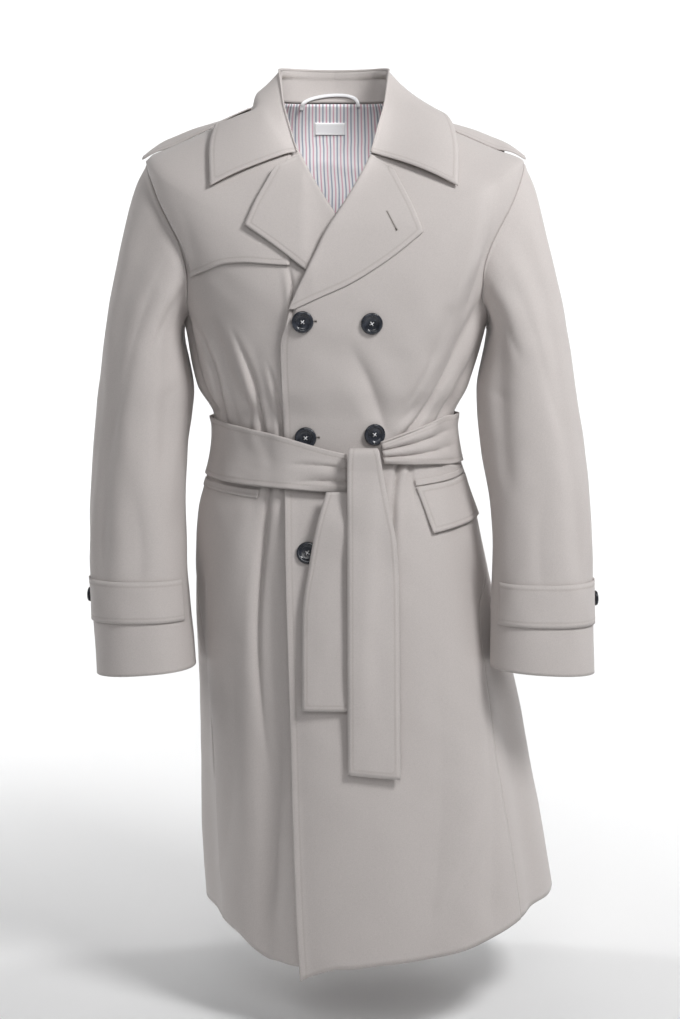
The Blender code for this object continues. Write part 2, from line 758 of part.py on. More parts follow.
def back_grid():
    grid = []
    for height in ROWS:
        first, last = back_angles(height)
        grid.append([cloth(mix(first, last, i / BACK_COLUMNS), height) for i in range(BACK_COLUMNS + 1)])
    return pulled_in(grid, SEAM_GAP / 2, SEAM_GAP / 2)


def lining_grid():
    """The back's own points from the neck down to the waist, moved inwards."""
    grid = []
    for height in ROWS:
        if height < LINING_LOW:
            continue
        first, last = back_angles(height)
        inwards = -(WALL / 2 + LINING_GAP + LINING_WALL / 2)
        kept = range(LINING_TRIM, BACK_COLUMNS + 1 - LINING_TRIM)
        grid.append([cloth(mix(first, last, i / BACK_COLUMNS), height, inwards) for i in kept])
    return grid


def armhole_loop(sign):
    """The armhole's seam: outer top, down its front to the armpit and up its back."""
    rows = [height for height in ROWS if ARMPIT <= height <= SHOULDER + 1e-6]
    front = [cloth(sign * armhole_angle(height, 1), height) for height in rows]
    back = [cloth(sign * (180 - armhole_angle(height, -1)), height) for height in rows]
    return front[::-1] + back[1:-1]


def sleeve_ring(curves, place, angle):
    """A point of a sleeve's smooth tube."""
    turn = math.radians(angle)
    power = 2 / curves["squareness"](place)
    outer = Vector((curves["out_x"](place), 0, curves["out_z"](place)))
    inner = Vector((curves["in_x"](place), 0, curves["in_z"](place)))
    point = (outer + inner) / 2 + (outer - inner) / 2 * signed_power(math.cos(turn), power)
    point.y = curves["middle_y"](place) - curves["half_depth"](place) * signed_power(math.sin(turn), power)
    return point


def sleeve_middle(curves, place):
    middle = (sleeve_ring(curves, place, 0) + sleeve_ring(curves, place, 180)) / 2
    middle.y = curves["middle_y"](place)
    return middle


def sleeve_fold(angle, z):
    total = 0.0
    for top_z, low_z, top_angle, low_angle, width, depth in SLEEVE_FOLDS:
        share = min(max((top_z - z) / (top_z - low_z), 0.0), 1.0)
        away = (angle - mix(top_angle, low_angle, share) + 180) % 360 - 180
        fade = smooth_step((top_z - z) / FOLD_FADE) * smooth_step((z - low_z) / FOLD_FADE)
        total += depth * fade * math.exp(-((away / width) ** 2))
    return total


def sleeve_point(curves, place, angle, lift=0.0):
    """A point of a sleeve's cloth with its folds."""
    point = sleeve_ring(curves, place, angle)
    out = (point - sleeve_middle(curves, place)).normalized()
    return point + out * (lift - sleeve_fold(angle, point.z))


def sleeve_grid(curves, last_row, sign):
    """Rings from the armhole down to the cuff. The first is the armhole's own seam, moved out."""
    loop = armhole_loop(sign)
    count = len(loop)
    grid = []
    for j in range(SLEEVE_RINGS + 1):
        share = j / SLEEVE_RINGS
        place = last_row * share**SLEEVE_RING_SPREAD
        keep = 1 - smooth_step(place / SLEEVE_BLEND_RINGS)
        row = []
        for i, seam in enumerate(loop):
            angle = 360 * i / count
            smooth = sleeve_point(curves, place, angle)
            start = sleeve_ring(curves, 0, angle)
            seam_out = seam + Vector((sign * SLEEVE_HEAD_GAP, 0, 0))
            row.append(smooth + (seam_out - start) * keep)
        grid.append(row)
    return grid[::-1]


def lapel_grid(rows, tree, offset, roll_low):
    """A lapel laid on the cloth, with a soft roll at its roll line."""
    curves = table_curves(rows, LAPEL_COLUMNS)
    places = []
    for j in range(LAPEL_STEPS_DOWN + 1):
        t = (len(rows) - 1) * j / LAPEL_STEPS_DOWN
        line = []
        for i in range(LAPEL_STEPS_OUT + 1):
            share = i / LAPEL_STEPS_OUT
            x = mix(curves["roll_x"](t), curves["edge_x"](t), share)
            z = mix(curves["roll_z"](t), curves["edge_z"](t), share)
            raised = LAPEL_ROLL_LIFT * (1 - share) ** 3 * smooth_step((z - roll_low) / LAPEL_ROLL_FADE)
            line.append((x, z, raised))
        places.append(line[::-1])
    return lay_on_front(tree, places, offset)


def storm_flap_grid(tree, offset):
    bottom = table_curves(STORM_EDGE, STORM_EDGE_COLUMNS, "share")["height"]
    grid = []
    for j in range(STORM_ROWS + STORM_YOKE_ROWS + 1):
        row = []
        for i in range(STORM_STEPS + 1):
            share = i / STORM_STEPS
            if j < STORM_ROWS:
                height = mix(bottom(share), SHOULDER, j / STORM_ROWS)
            else:
                height = mix(SHOULDER, STORM_TOP, (j - STORM_ROWS) / STORM_YOKE_ROWS)
            inner = angle_at_edge(height, lambda z: STORM_INNER_X)
            outer = front_outer(height, -1)
            inwards = mix(STORM_TRIM, 1.0, share)
            row.append(laid(tree, mix(outer, inner, inwards), height, offset))
        grid.append(row)
    return grid


def collar_row(share):
    """The collar's values at a share of its length, from the left front end round to the right one."""
    curves = table_curves(COLLAR, COLLAR_COLUMNS)
    half = abs(2 * share - 1)
    place = (len(COLLAR) - 1) * (1 - half)
    side = 1 if share < 0.5 else -1
    values = {name: curve(place) for name, curve in curves.items()}
    values["roll"] = Vector((side * values["roll_x"], values["roll_y"], values["roll_z"]))
    values["edge"] = Vector((side * values["edge_x"], values["edge_y"], values["edge_z"]))
    values["angle"] = values["neck_angle"] if side > 0 else 360 - values["neck_angle"]
    return values


def collar_fall_grid(tree, clearance):
    """The outer leaf, lofted from the roll to its edge and kept clear of what it lies on."""
    grid = []
    for j in range(FALL_ROWS + 1):
        t = j / FALL_ROWS
        row = []
        for i in range(COLLAR_STEPS + 1):
            values = collar_row(i / COLLAR_STEPS)
            roll, edge = values["roll"], values["edge"]
            out = Vector((roll.x, roll.y - 0.01, 0)).normalized() + Vector((0, 0, 0.6))
            point = mix(roll, edge, t) + out * values["bulge"] * 4 * t * (1 - t)
            place, normal, _, _ = tree.find_nearest(point)
            height = (point - place).dot(normal)
            if height < clearance:
                point = point + normal * (clearance - height)
            row.append(point)
        grid.append(row)
    return grid[::-1]


def collar_stand_grid():
    """The inner band, from the neck seam up to the roll."""
    grid = []
    for j in range(STAND_ROWS + 1):
        row = []
        for i in range(STAND_FIRST, COLLAR_STEPS - STAND_FIRST + 1):
            values = collar_row(i / COLLAR_STEPS)
            base = form(values["angle"], NECK)
            inwards = Vector((-base.x, 0.01 - base.y, 0)).normalized()
            base = base + inwards * STAND_INSET + Vector((0, 0, 0.0012))
            top = values["roll"] + inwards * STAND_TOP_INSET - Vector((0, 0, 0.0010))
            row.append(mix(base, top, j / STAND_ROWS))
        grid.append(row)
    return grid


def corner_grid(tree, corners, rows, columns, lift, stand_off=0.0):
    """A four-cornered piece on a front, its corners given by angle and height."""
    upper_first, upper_last, lower_last, lower_first = corners
    grid = []
    for j in range(rows + 1):
        v = j / rows
        row = []
        for i in range(columns + 1):
            u = i / columns
            angle = mix(mix(lower_first[0], lower_last[0], u), mix(upper_first[0], upper_last[0], u), v)
            height = mix(mix(lower_first[1], lower_last[1], u), mix(upper_first[1], upper_last[1], u), v)
            row.append(laid(tree, angle, height, lift + stand_off * (1 - v) ** 2))
        grid.append(row)
    return grid


def belt_grid(tree):
    curves = table_curves(BELT_BAND, BELT_COLUMNS, "angle")
    first, last = BELT_BAND[0][0], BELT_BAND[-1][0]
    grid = []
    for j in range(BELT_ROWS + 1):
        row = []
        for i in range(BELT_STEPS + 1):
            angle = mix(last, first, i / BELT_STEPS)
            height = mix(curves["low_z"](angle), curves["top_z"](angle), j / BELT_ROWS)
            off = WALL / 2 + BELT_WALL / 2 + curves["stand"](angle)
            row.append(laid(tree, angle, height, off, BAND_REACH))
        grid.append(row)
    return grid


def belt_end_grid(top, fall, tree, offset, reach):
    """A hanging end of the belt: its top rows as given, then lying on the skirt."""
    curves = table_curves(fall, BELT_END_COLUMNS, "z")
    rows = []
    for z, left, right, y in top:
        shares = [i / BELT_END_STEPS for i in range(BELT_END_STEPS + 1)]
        rows.append([Vector((mix(left, right, share), y, z)) for share in shares])
    for j in range(BELT_END_ROWS + 1):
        z = mix(fall[0][0], fall[-1][0], j / BELT_END_ROWS)
        row = []
        for i in range(BELT_END_STEPS + 1):
            x = mix(curves["left_x"](z), curves["right_x"](z), i / BELT_END_STEPS)
            lying = forward_y(tree, x, z, reach, END_REACH_UP)
            row.append(Vector((x, min(lying - offset, curves["y"](z)), z)))
        rows.append(row)
    return rows[::-1]


def add_knot(material, collection):
    """The knot: a rounded bundle of folded cloth between the belt and its front end."""
    bpy.ops.mesh.primitive_cube_add(size=1.0, location=KNOT_MIDDLE)
    knot = bpy.context.active_object
    knot.name = "belt_knot"
    knot.data.name = "belt_knot"
    knot.data.transform(Matrix.Diagonal((*KNOT_SIZE, 1.0)))
    for other in list(knot.users_collection):
        other.objects.unlink(knot)
    collection.objects.link(knot)
    knot.data.materials.append(material)
    bevel = knot.modifiers.new("edges", "BEVEL")
    bevel.width = KNOT_EDGE
    bevel.segments = 3
    return knot


def epaulette_grid(sign, tree):
    curves = table_curves(EPAULETTE, EPAULETTE_COLUMNS, "x")
    middle_y = SECTION["side_y"](EPAULETTE_MIDDLE_HEIGHT)
    grid = []
    for j in range(EPAULETTE_ROWS + 1):
        row = []
        for i in range(EPAULETTE_STEPS + 1):
            x = mix(EPAULETTE[0][0], EPAULETTE[-1][0], i / EPAULETTE_STEPS)
            y = middle_y + curves["half_width"](x) * (2 * j / EPAULETTE_ROWS - 1)
            over = sign * min(x, SHOULDER_END_X)
            found = [
                tree.ray_cast(Vector((over, y + near, 1.0)), Vector((0, 0, -1)))[0]
                for near in (-EPAULETTE_REACH, 0.0, EPAULETTE_REACH)
            ]
            past_end = max(x - SHOULDER_END_X, 0.0)
            base = max(hit.z for hit in found if hit is not None) - past_end * SHOULDER_END_SLOPE
            lift = WALL / 2 + LAY_GAP + FLAP_WALL / 2 + (STORM_LIFT if sign < 0 else 0.0)
            front = max(0.0, 1 - 2 * j / EPAULETTE_ROWS)
            hang = min(curves["tilt"](x) * front, curves["rise"](x))
            row.append(Vector((sign * x, y, base + curves["rise"](x) - hang + lift)))
        grid.append(row if sign > 0 else row[::-1])
    return grid


def cuff_strap_grid(curves, last_row, sign):
    """A strap round a sleeve, from its inner seam over the front to just behind its outer side."""
    places = []
    for z in (CUFF_STRAP_LOW, (CUFF_STRAP_LOW + CUFF_STRAP_TOP) / 2, CUFF_STRAP_TOP):
        low, high = 0.0, float(last_row)
        for _ in range(40):
            middle = (low + high) / 2
            if sleeve_middle(curves, middle).z > z:
                low = middle
            else:
                high = middle
        places.append((low + high) / 2)
    lift = WALL / 2 + LAY_GAP + FLAP_WALL / 2 + 0.0003
    grid = []
    for place in places:
        row = [
            sleeve_point(curves, place, mix(CUFF_STRAP_START, CUFF_STRAP_END, i / CUFF_STEPS), lift)
            for i in range(CUFF_STEPS + 1)
        ]
        grid.append(row if sign < 0 else row[::-1])
    button = sleeve_point(curves, places[1], CUFF_BUTTON_ANGLE, lift)
    out = (button - sleeve_middle(curves, places[1])).normalized()
    return grid, seated(grid_tree([grid]), button, out, SMALL_BUTTON_RADIUS, FLAP_WALL / 2), out


def inner_y(tree, x, z):
    """The y of the inside of the back, seen from inside the coat."""
    for dz in (0.0, 0.003, -0.003, 0.006, -0.006):
        hit = tree.ray_cast(Vector((x, 0.0, z + dz)), Vector((0, 1, 0)))[0]
        if hit is not None:
            return hit.y
    return 0.0


def label_grid(tree, offset):
    middle_x, middle_z = LABEL_MIDDLE
    width, tall = LABEL_SIZE
    grid = []
    for j in range(3):
        z = middle_z + tall * (j / 2 - 0.5)
        xs = [middle_x + width * (0.5 - i / 6) for i in range(7)]
        grid.append([Vector((x, inner_y(tree, x, z) - offset, z)) for x in xs])
    return grid


def loop_grid(tree, offset):
    """The hanger loop: a ribbon on edge along an arch at the back neck."""
    middle_x, middle_z = LOOP_MIDDLE
    grid = []
    for side in (0, 1):
        row = []
        for i in range(LOOP_STEPS + 1):
            turn = math.pi * i / LOOP_STEPS
            span = LOOP_HALF_SPAN - LOOP_WIDTH * side
            tall = LOOP_HEIGHT - LOOP_WIDTH * side
            x = middle_x + span * math.cos(turn)
            z = middle_z + tall * math.sin(turn) ** 0.8
            row.append(Vector((x, inner_y(tree, x, z) - offset, z)))
        grid.append(row)
    return grid


def build():
    clear_scene()
    coat = new_collection(COLLECTION)
    shell_cloth = new_material("gabardine", CLOTH_COLOUR, 0.8)
    striped = new_material("shirting", LINING_COLOUR, 0.7)
    white = new_material("white_cloth", WHITE_COLOUR, 0.7)
    horn = new_material("button_horn", BUTTON_COLOUR, 0.25)
    lay = WALL / 2 + LAY_GAP + FLAP_WALL / 2

    right = front_grid(-1)
    left = front_grid(1)
    back = back_grid()
    add_shell("front_right", right, WALL, shell_cloth, coat)
    add_shell("front_left", left, WALL, shell_cloth, coat)
    add_shell("back", back, WALL, shell_cloth, coat)
    lining = lining_grid()
    add_shell("lining_back", lining, LINING_WALL, striped, coat)

    right_sleeve = table_curves(RIGHT_SLEEVE, SLEEVE_COLUMNS)
    left_sleeve = table_curves(LEFT_SLEEVE, SLEEVE_COLUMNS)
    last = len(RIGHT_SLEEVE) - 1
    for name, curves, sign in (("right", right_sleeve, -1), ("left", left_sleeve, 1)):
        add_shell("sleeve_" + name, sleeve_grid(curves, last, sign), WALL, shell_cloth, coat, closed=True)
        strap, place, out = cuff_strap_grid(curves, last, sign)
        add_shell("cuff_strap_" + name, strap, FLAP_WALL, shell_cloth, coat)
        button = "cuff_button_" + name
        add_button(button, SMALL_BUTTON_RADIUS, SMALL_BUTTON_HEIGHT, place, out, horn, coat)

    storm = storm_flap_grid(grid_tree([right]), lay + STORM_LIFT)
    add_shell("storm_flap", storm, FLAP_WALL, shell_cloth, coat)
    right_tree = grid_tree([right, storm])
    right_lapel = lapel_grid(RIGHT_LAPEL, right_tree, lay, RIGHT_ROLL_LOW)
    add_shell("lapel_right", right_lapel, FLAP_WALL, shell_cloth, coat)
    left_tree = grid_tree([left])
    left_lapel = lapel_grid(LEFT_LAPEL, left_tree, lay, LEFT_ROLL_LOW)
    add_shell("lapel_left", left_lapel, FLAP_WALL, shell_cloth, coat)

    shoulders = grid_tree([right, left, back, storm])
    epaulettes = []
    for name, sign in (("right", -1), ("left", 1)):
        strap = epaulette_grid(sign, shoulders)
        epaulettes.append(strap)
        add_shell("epaulette_" + name, strap, FLAP_WALL, shell_cloth, coat)
        above = Vector((sign * EPAULETTE_BUTTON_X, EPAULETTE_BUTTON_Y, 1.0))
        place = shoulders.ray_cast(above, Vector((0, 0, -1)))
        lifted = seated(shoulders, place[0], place[1], SMALL_BUTTON_RADIUS, WALL / 2)
        button = "epaulette_button_" + name
        add_button(button, SMALL_BUTTON_RADIUS, SMALL_BUTTON_HEIGHT, lifted, place[1], horn, coat)

    collar_base = grid_tree([right, left, back, storm] + epaulettes)
    fall = collar_fall_grid(collar_base, lay + COLLAR_STAND_OFF)
    add_shell("collar_fall", fall, FLAP_WALL, shell_cloth, coat)
    stand = collar_stand_grid()
    add_shell("collar_stand", stand, FLAP_WALL, shell_cloth, coat)

    fronts = grid_tree([right, left])
    flap = corner_grid(fronts, FLAP_LEFT, 4, 8, lay, FLAP_STAND_OFF)
    add_shell("pocket_flap_left", flap, FLAP_WALL, shell_cloth, coat)
    add_shell("pocket_welt_left", corner_grid(fronts, WELT_LEFT, 1, 8, lay), FLAP_WALL, shell_cloth, coat)
    add_shell("pocket_welt_right", corner_grid(fronts, WELT_RIGHT, 1, 8, lay), FLAP_WALL, shell_cloth, coat)
    for name, x, z in BUTTONS:
        place, normal, _, _ = fronts.ray_cast(Vector((x, -1.0, z)), Vector((0, 1, 0)))
        lifted = seated(fronts, place, normal, BUTTON_RADIUS, WALL / 2)
        add_button(name, BUTTON_RADIUS, BUTTON_HEIGHT, lifted, normal, horn, coat)

    add_shell("belt_band", belt_grid(grid_tree([right, left, back])), BELT_WALL, shell_cloth, coat)
    add_knot(shell_cloth, coat)
    over = WALL / 2 + LAY_GAP + BELT_WALL / 2
    behind = belt_end_grid((), BELT_BEHIND_FALL, fronts, over, END_BEHIND_REACH)
    add_shell("belt_end_behind", behind, BELT_WALL, shell_cloth, coat)
    covered = grid_tree([right, left, behind])
    over += BELT_WALL / 2
    front_end = belt_end_grid(BELT_FRONT_TOP, BELT_FRONT_FALL, covered, over, END_FRONT_REACH)
    add_shell("belt_end_front", front_end, BELT_WALL, shell_cloth, coat)

    inside = grid_tree([lining, stand])
    add_shell("neck_label", label_grid(inside, LINING_WALL + 1.5 * LAY_GAP), LINING_WALL, white, coat)
    add_shell("hanger_loop", loop_grid(inside, FLAP_WALL + 3.0 * LAY_GAP), LINING_WALL, white, coat)


build()
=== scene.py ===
"""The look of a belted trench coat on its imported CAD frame.

Metres, +Z up, the front faces -Y, the origin is at the neck. Left and right in the names are the wearer's.
A place on the coat's form has an angle, 0 at the centre front and +90 at the left side, and a height, that
of the form's section where it passes the sides. Grids are arrays of points, rows by columns.
"""

import math

import bmesh
import bpy
import numpy as np
from mathutils import Matrix, Vector
from mathutils.bvhtree import BVHTree

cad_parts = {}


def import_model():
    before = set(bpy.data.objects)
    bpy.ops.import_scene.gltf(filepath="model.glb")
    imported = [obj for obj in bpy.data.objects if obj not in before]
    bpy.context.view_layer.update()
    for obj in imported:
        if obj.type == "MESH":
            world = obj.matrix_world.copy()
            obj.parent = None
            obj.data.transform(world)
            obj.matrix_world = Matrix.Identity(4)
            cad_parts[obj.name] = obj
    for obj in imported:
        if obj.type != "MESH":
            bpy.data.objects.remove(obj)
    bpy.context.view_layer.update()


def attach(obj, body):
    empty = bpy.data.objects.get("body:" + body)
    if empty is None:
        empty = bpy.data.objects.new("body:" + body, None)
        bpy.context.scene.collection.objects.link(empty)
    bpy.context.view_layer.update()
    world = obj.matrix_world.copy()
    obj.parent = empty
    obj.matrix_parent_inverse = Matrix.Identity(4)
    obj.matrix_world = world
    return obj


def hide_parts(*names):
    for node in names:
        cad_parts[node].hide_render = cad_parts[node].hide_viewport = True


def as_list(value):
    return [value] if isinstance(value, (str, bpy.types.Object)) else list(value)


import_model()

# Cloth
WALL = 0.0016
FLAP_WALL = 0.0014
BELT_WALL = 0.0020
LINING_WALL = 0.0010
KNOT_WALL = 0.0016
LABEL_WALL = 0.0006
LOOP_WALL = 0.0008
SEAM_GAP = 0.0004
LAY_GAP = 0.0007
LINING_GAP = 0.0006
LAY = WALL / 2 + LAY_GAP + FLAP_WALL / 2

# Heights of the form's sections at the sides
NECK = 0.0
SHOULDER = -0.082
ARMPIT = -0.290
SKIRT_TOP = -0.490
HEM_SIDE = -1.032
ARMHOLE_DEPTH = 0.66

# Sections of the coat's form, from the neck down
SECTION_COLUMNS = "height low_x high_x side_y front_y front_z back_y back_z squareness"
SECTIONS = (
    (0.0, -0.075, 0.075, 0.01, -0.078, -0.092, 0.075, 0.004, 2.0),
    (-0.02, -0.112, 0.112, 0.008, -0.096, -0.095, 0.092, -0.002, 2.1),
    (-0.043, -0.16, 0.161, 0.006, -0.11, -0.092, 0.104, -0.007, 2.3),
    (-0.064, -0.204, 0.206, 0.004, -0.118, -0.091, 0.112, -0.016, 2.5),
    (-0.082, -0.239, 0.245, 0.002, -0.124, -0.093, 0.118, -0.028, 2.7),
    (-0.12, -0.236, 0.241, 0.0, -0.129, -0.08, 0.123, -0.025, 2.8),
    (-0.18, -0.218, 0.223, 0.0, -0.134, -0.05, 0.127, -0.015, 2.8),
    (-0.24, -0.203, 0.207, 0.0, -0.136, -0.022, 0.127, -0.005, 2.6),
    (-0.29, -0.192, 0.196, 0.0, -0.135, -0.008, 0.124, 0.0, 2.4),
    (-0.37, -0.1765, 0.172, 0.0, -0.128, 0.0, 0.112, 0.0, 2.3),
    (-0.41, -0.155, 0.153, 0.0, -0.12, 0.0, 0.105, 0.0, 2.2),
    (-0.449, -0.156, 0.158, 0.0, -0.118, 0.0, 0.104, 0.0, 2.2),
    (-0.488, -0.165, 0.169, 0.0, -0.122, 0.0, 0.112, 0.0, 2.2),
    (-0.53, -0.175, 0.181, 0.004, -0.132, 0.0, 0.125, 0.0, 2.3),
    (-0.624, -0.179, 0.203, 0.014, -0.15, 0.0, 0.148, 0.0, 2.3),
    (-0.78, -0.175, 0.24, 0.028, -0.172, 0.0, 0.172, 0.0, 2.3),
    (-0.936, -0.17, 0.27, 0.036, -0.19, 0.0, 0.19, 0.0, 2.3),
    (-1.08, -0.164, 0.294, 0.04, -0.2, 0.0, 0.202, 0.0, 2.3),
)

# Edge of each front in front view
FRONT_EDGE_COLUMNS = "z left_x right_x"
FRONT_EDGES = (
    (-0.03, 0.066, -0.062), (-0.046, 0.061, -0.056), (-0.08, 0.046, -0.041), (-0.132, 0.019, -0.012),
    (-0.156, 0.003, 0.003), (-0.225, -0.03, 0.036), (-0.258, -0.047, 0.05), (-0.286, -0.056, 0.058),
    (-0.32, -0.065, 0.066), (-0.427, -0.061, 0.066), (-0.58, -0.058, 0.068), (-0.755, -0.052, 0.074),
    (-0.912, -0.046, 0.08), (-1.08, -0.037, 0.085),
)

# How much lower than its side the hem hangs, by angle
HEM_DROP = (
    (-180, -0.004), (-120, 0.0), (-90, 0.001), (-60, 0.002), (-50, 0.008), (-42, 0.023), (-35, 0.033),
    (-10, 0.03), (0, 0.0243), (20, 0.013), (35, -0.0005), (50, -0.012), (65, -0.016), (90, -0.015),
    (130, -0.008), (180, -0.004),
)

# How far the left front stands off the right one, by height, and where that ends
LEFT_LIFT = (
    (0.0, 0.0), (-0.03, 0.0004), (-0.06, 0.004), (-0.09, 0.0084), (-0.27, 0.0076), (-0.33, 0.0044),
    (-1.08, 0.0032),
)
LIFT_START_ANGLE = 54
LIFT_FULL_ANGLE = 38

# Side seams: share of the skirt from its top, and the seams' angles
SEAM_COLUMNS = "share left right"
SIDE_SEAMS = (
    (0.0, 90.0, 90.0), (0.14, 85.0, 88.0), (0.31, 62.0, 79.0), (0.5, 50.5, 66.0), (0.65, 47.5, 62.0),
    (1.0, 46.0, 61.0),
)

# Main folds of the body, pressed inwards: top and low z, top and low angle, half width in degrees, depth
FOLDS = (
    (-0.2, -0.425, -80, -67, 5.5, 0.006), (-0.25, -0.428, -54, -36, 5.0, 0.0055),
    (-0.3, -0.43, -31, -24, 4.0, 0.0035), (-0.22, -0.43, 72, 33, 5.5, 0.0055),
    (-0.28, -0.425, 78, 62, 5.0, 0.005), (-0.29, -0.42, -6, 22, 6.0, 0.003),
    (-0.22, -0.425, -150, -128, 7.0, 0.006), (-0.22, -0.425, 150, 126, 7.0, 0.006),
    (-0.3, -0.425, 172, 176, 6.0, 0.0045), (-0.48, -1.2, -27, -36, 6.0, 0.008),
    (-0.56, -1.2, -72, -70, 9.0, 0.0075), (-0.62, -1.2, 14, 8, 9.0, 0.0045),
    (-0.56, -1.2, 62, 56, 8.0, 0.0085), (-0.5, -1.2, 118, 116, 9.0, 0.011),
    (-0.5, -1.2, 160, 166, 9.0, 0.012), (-0.52, -1.2, -148, -152, 9.0, 0.011),
    (-0.54, -1.2, -112, -110, 8.0, 0.009),
)
FOLD_FADE = 0.075
FURTHEST_EDGE_ANGLE = 75.0

# Creases in front view: first and last x and z, half width, depth. Positive depth is inwards.
FRONT_CREASES = (
    (-0.183, -0.275, -0.136, -0.414, 0.0026, 0.0068), (-0.13, -0.29, -0.088, -0.426, 0.0026, 0.007),
    (-0.086, -0.33, -0.0645, -0.432, 0.0024, 0.005), (-0.146, -0.35, -0.12, -0.412, 0.0022, 0.0022),
    (-0.059, -0.208, -0.05, -0.292, 0.0022, 0.005), (0.166, -0.305, 0.086, -0.43, 0.0028, 0.0068),
    (0.168, -0.34, 0.128, -0.418, 0.0026, 0.0052), (0.129, -0.3, 0.093, -0.385, 0.004, 0.0022),
    (0.008, -0.3, 0.062, -0.42, 0.0068, 0.0034), (0.076, -0.58, 0.08, -0.462, 0.0024, 0.006),
    (0.106, -0.53, 0.094, -0.462, 0.0026, 0.0028), (-0.168, -0.478, -0.086, -0.487, 0.0018, 0.003),
    (-0.162, -0.472, -0.105, -0.48, 0.0016, 0.0026), (-0.15, -0.466, -0.11, -0.475, 0.0015, 0.002),
    (0.118, -0.456, 0.156, -0.464, 0.002, 0.0024), (0.125, -0.464, 0.16, -0.47, 0.0018, 0.002),
    (-0.0785, -0.86, -0.0765, -0.475, 0.0032, 0.0062), (-0.086, -0.56, -0.088, -1.01, 0.015, 0.005),
    (-0.138, -0.6, -0.145, -1.01, 0.012, 0.003), (0.152, -0.62, 0.19, -1.0, 0.011, 0.0034),
    (0.106, -0.62, 0.118, -1.0, 0.016, 0.0028), (0.196, -0.84, 0.138, -0.99, 0.006, 0.002),
    (-0.195, -0.13, -0.17, -0.23, 0.008, 0.003), (0.195, -0.13, 0.166, -0.27, 0.008, 0.0034),
    (0.146, -0.2, 0.122, -0.33, 0.011, 0.002),
)
BACK_CREASES = (
    (-0.175, -0.29, -0.133, -0.418, 0.0036, 0.0056), (-0.118, -0.305, -0.085, -0.424, 0.0036, 0.005),
    (-0.04, -0.335, -0.029, -0.428, 0.0034, 0.0034), (0.022, -0.35, 0.014, -0.424, 0.0034, 0.003),
    (0.098, -0.31, 0.07, -0.426, 0.0036, 0.005), (0.164, -0.29, 0.127, -0.42, 0.0036, 0.0054),
    (-0.185, -0.15, -0.14, -0.27, 0.009, 0.0034), (0.185, -0.15, 0.14, -0.28, 0.009, 0.0034),
    (-0.06, -0.072, 0.06, -0.088, 0.009, 0.0018), (-0.015, -0.48, -0.035, -1.06, 0.008, 0.005),
    (0.065, -0.48, 0.1, -1.06, 0.009, 0.005), (-0.105, -0.48, -0.125, -1.05, 0.0085, 0.0044),
    (0.145, -0.5, 0.206, -1.04, 0.009, 0.0044),
)

# Shape of a crease: bow and fades as shares of its length, ridges as shares of its width and depth
CREASE_BOW = 0.05
CREASE_FULL = 0.60
CREASE_STOP = 1.12
CREASE_FADE = 0.16
RIDGE_PLACE = 2.8
RIDGE_WIDTH = 2.1
RIDGE_SHARE = 0.45

# Unevenness of hanging cloth: wave length, how much longer it is downwards, height
RIPPLES = ((0.16, 3.0, 0.0006), (0.09, 2.6, 0.0004), (0.045, 1.8, 0.00018))
BODY_SEED = 11
BODY_ROUND = 0.16
RIPPLE_FADE = 0.10
SLEEVE_ROUND = 0.07

# Sleeves, from the armhole to the cuff
SLEEVE_COLUMNS = "out_x out_z in_x in_z middle_y half_depth squareness"
RIGHT_SLEEVE = (
    (-0.256, -0.096, -0.195, -0.2935, 0.0, 0.09, 2.1),
    (-0.27, -0.126, -0.1975, -0.2985, -0.002, 0.092, 2.1),
    (-0.2795, -0.172, -0.1975, -0.306, -0.004, 0.092, 2.2),
    (-0.287, -0.228, -0.1945, -0.318, -0.007, 0.09, 2.2),
    (-0.2945, -0.29, -0.188, -0.34, -0.01, 0.087, 2.2),
    (-0.3005, -0.352, -0.182, -0.376, -0.014, 0.083, 2.2),
    (-0.3045, -0.405, -0.186, -0.408, -0.018, 0.079, 2.2),
    (-0.3075, -0.455, -0.191, -0.455, -0.024, 0.076, 2.2),
    (-0.31, -0.52, -0.1925, -0.52, -0.033, 0.073, 2.3),
    (-0.3085, -0.585, -0.1895, -0.585, -0.043, 0.07, 2.4),
    (-0.3045, -0.65, -0.1835, -0.65, -0.053, 0.067, 2.4), (-0.3, -0.7, -0.178, -0.695, -0.06, 0.065, 2.4),
    (-0.298, -0.729, -0.1755, -0.721, -0.064, 0.064, 2.4),
)
LEFT_SLEEVE = (
    (0.2575, -0.092, 0.1985, -0.2935, 0.0, 0.09, 2.1),
    (0.2685, -0.122, 0.2005, -0.2985, -0.002, 0.092, 2.1),
    (0.2775, -0.17, 0.2005, -0.306, -0.004, 0.092, 2.2),
    (0.2885, -0.228, 0.1965, -0.318, -0.007, 0.09, 2.2), (0.2985, -0.29, 0.19, -0.34, -0.011, 0.087, 2.2),
    (0.3075, -0.352, 0.1835, -0.376, -0.018, 0.083, 2.2),
    (0.314, -0.405, 0.185, -0.408, -0.027, 0.079, 2.2), (0.319, -0.455, 0.1905, -0.455, -0.037, 0.076, 2.2),
    (0.3225, -0.52, 0.1995, -0.52, -0.054, 0.071, 2.3),
    (0.3235, -0.585, 0.2015, -0.585, -0.074, 0.066, 2.3), (0.323, -0.65, 0.1985, -0.65, -0.09, 0.062, 2.3),
    (0.3225, -0.695, 0.196, -0.688, -0.1, 0.06, 2.3), (0.3225, -0.722, 0.195, -0.715, -0.105, 0.059, 2.3),
)
SLEEVE_SEEDS = {"right": 21, "left": 41}
SLEEVE_RINGS = 104
SLEEVE_BLEND_RINGS = 5
SLEEVE_RING_SPREAD = 1.25
SLEEVE_HEAD_SHOWN = 0.0014
SLEEVE_ROLL = 0.0012
SLEEVE_ROLL_PLACE = 0.022
SLEEVE_ROLL_WIDTH = 0.016
SLEEVE_CALM_LOW = -0.71
SLEEVE_CALM_FADE = 0.06
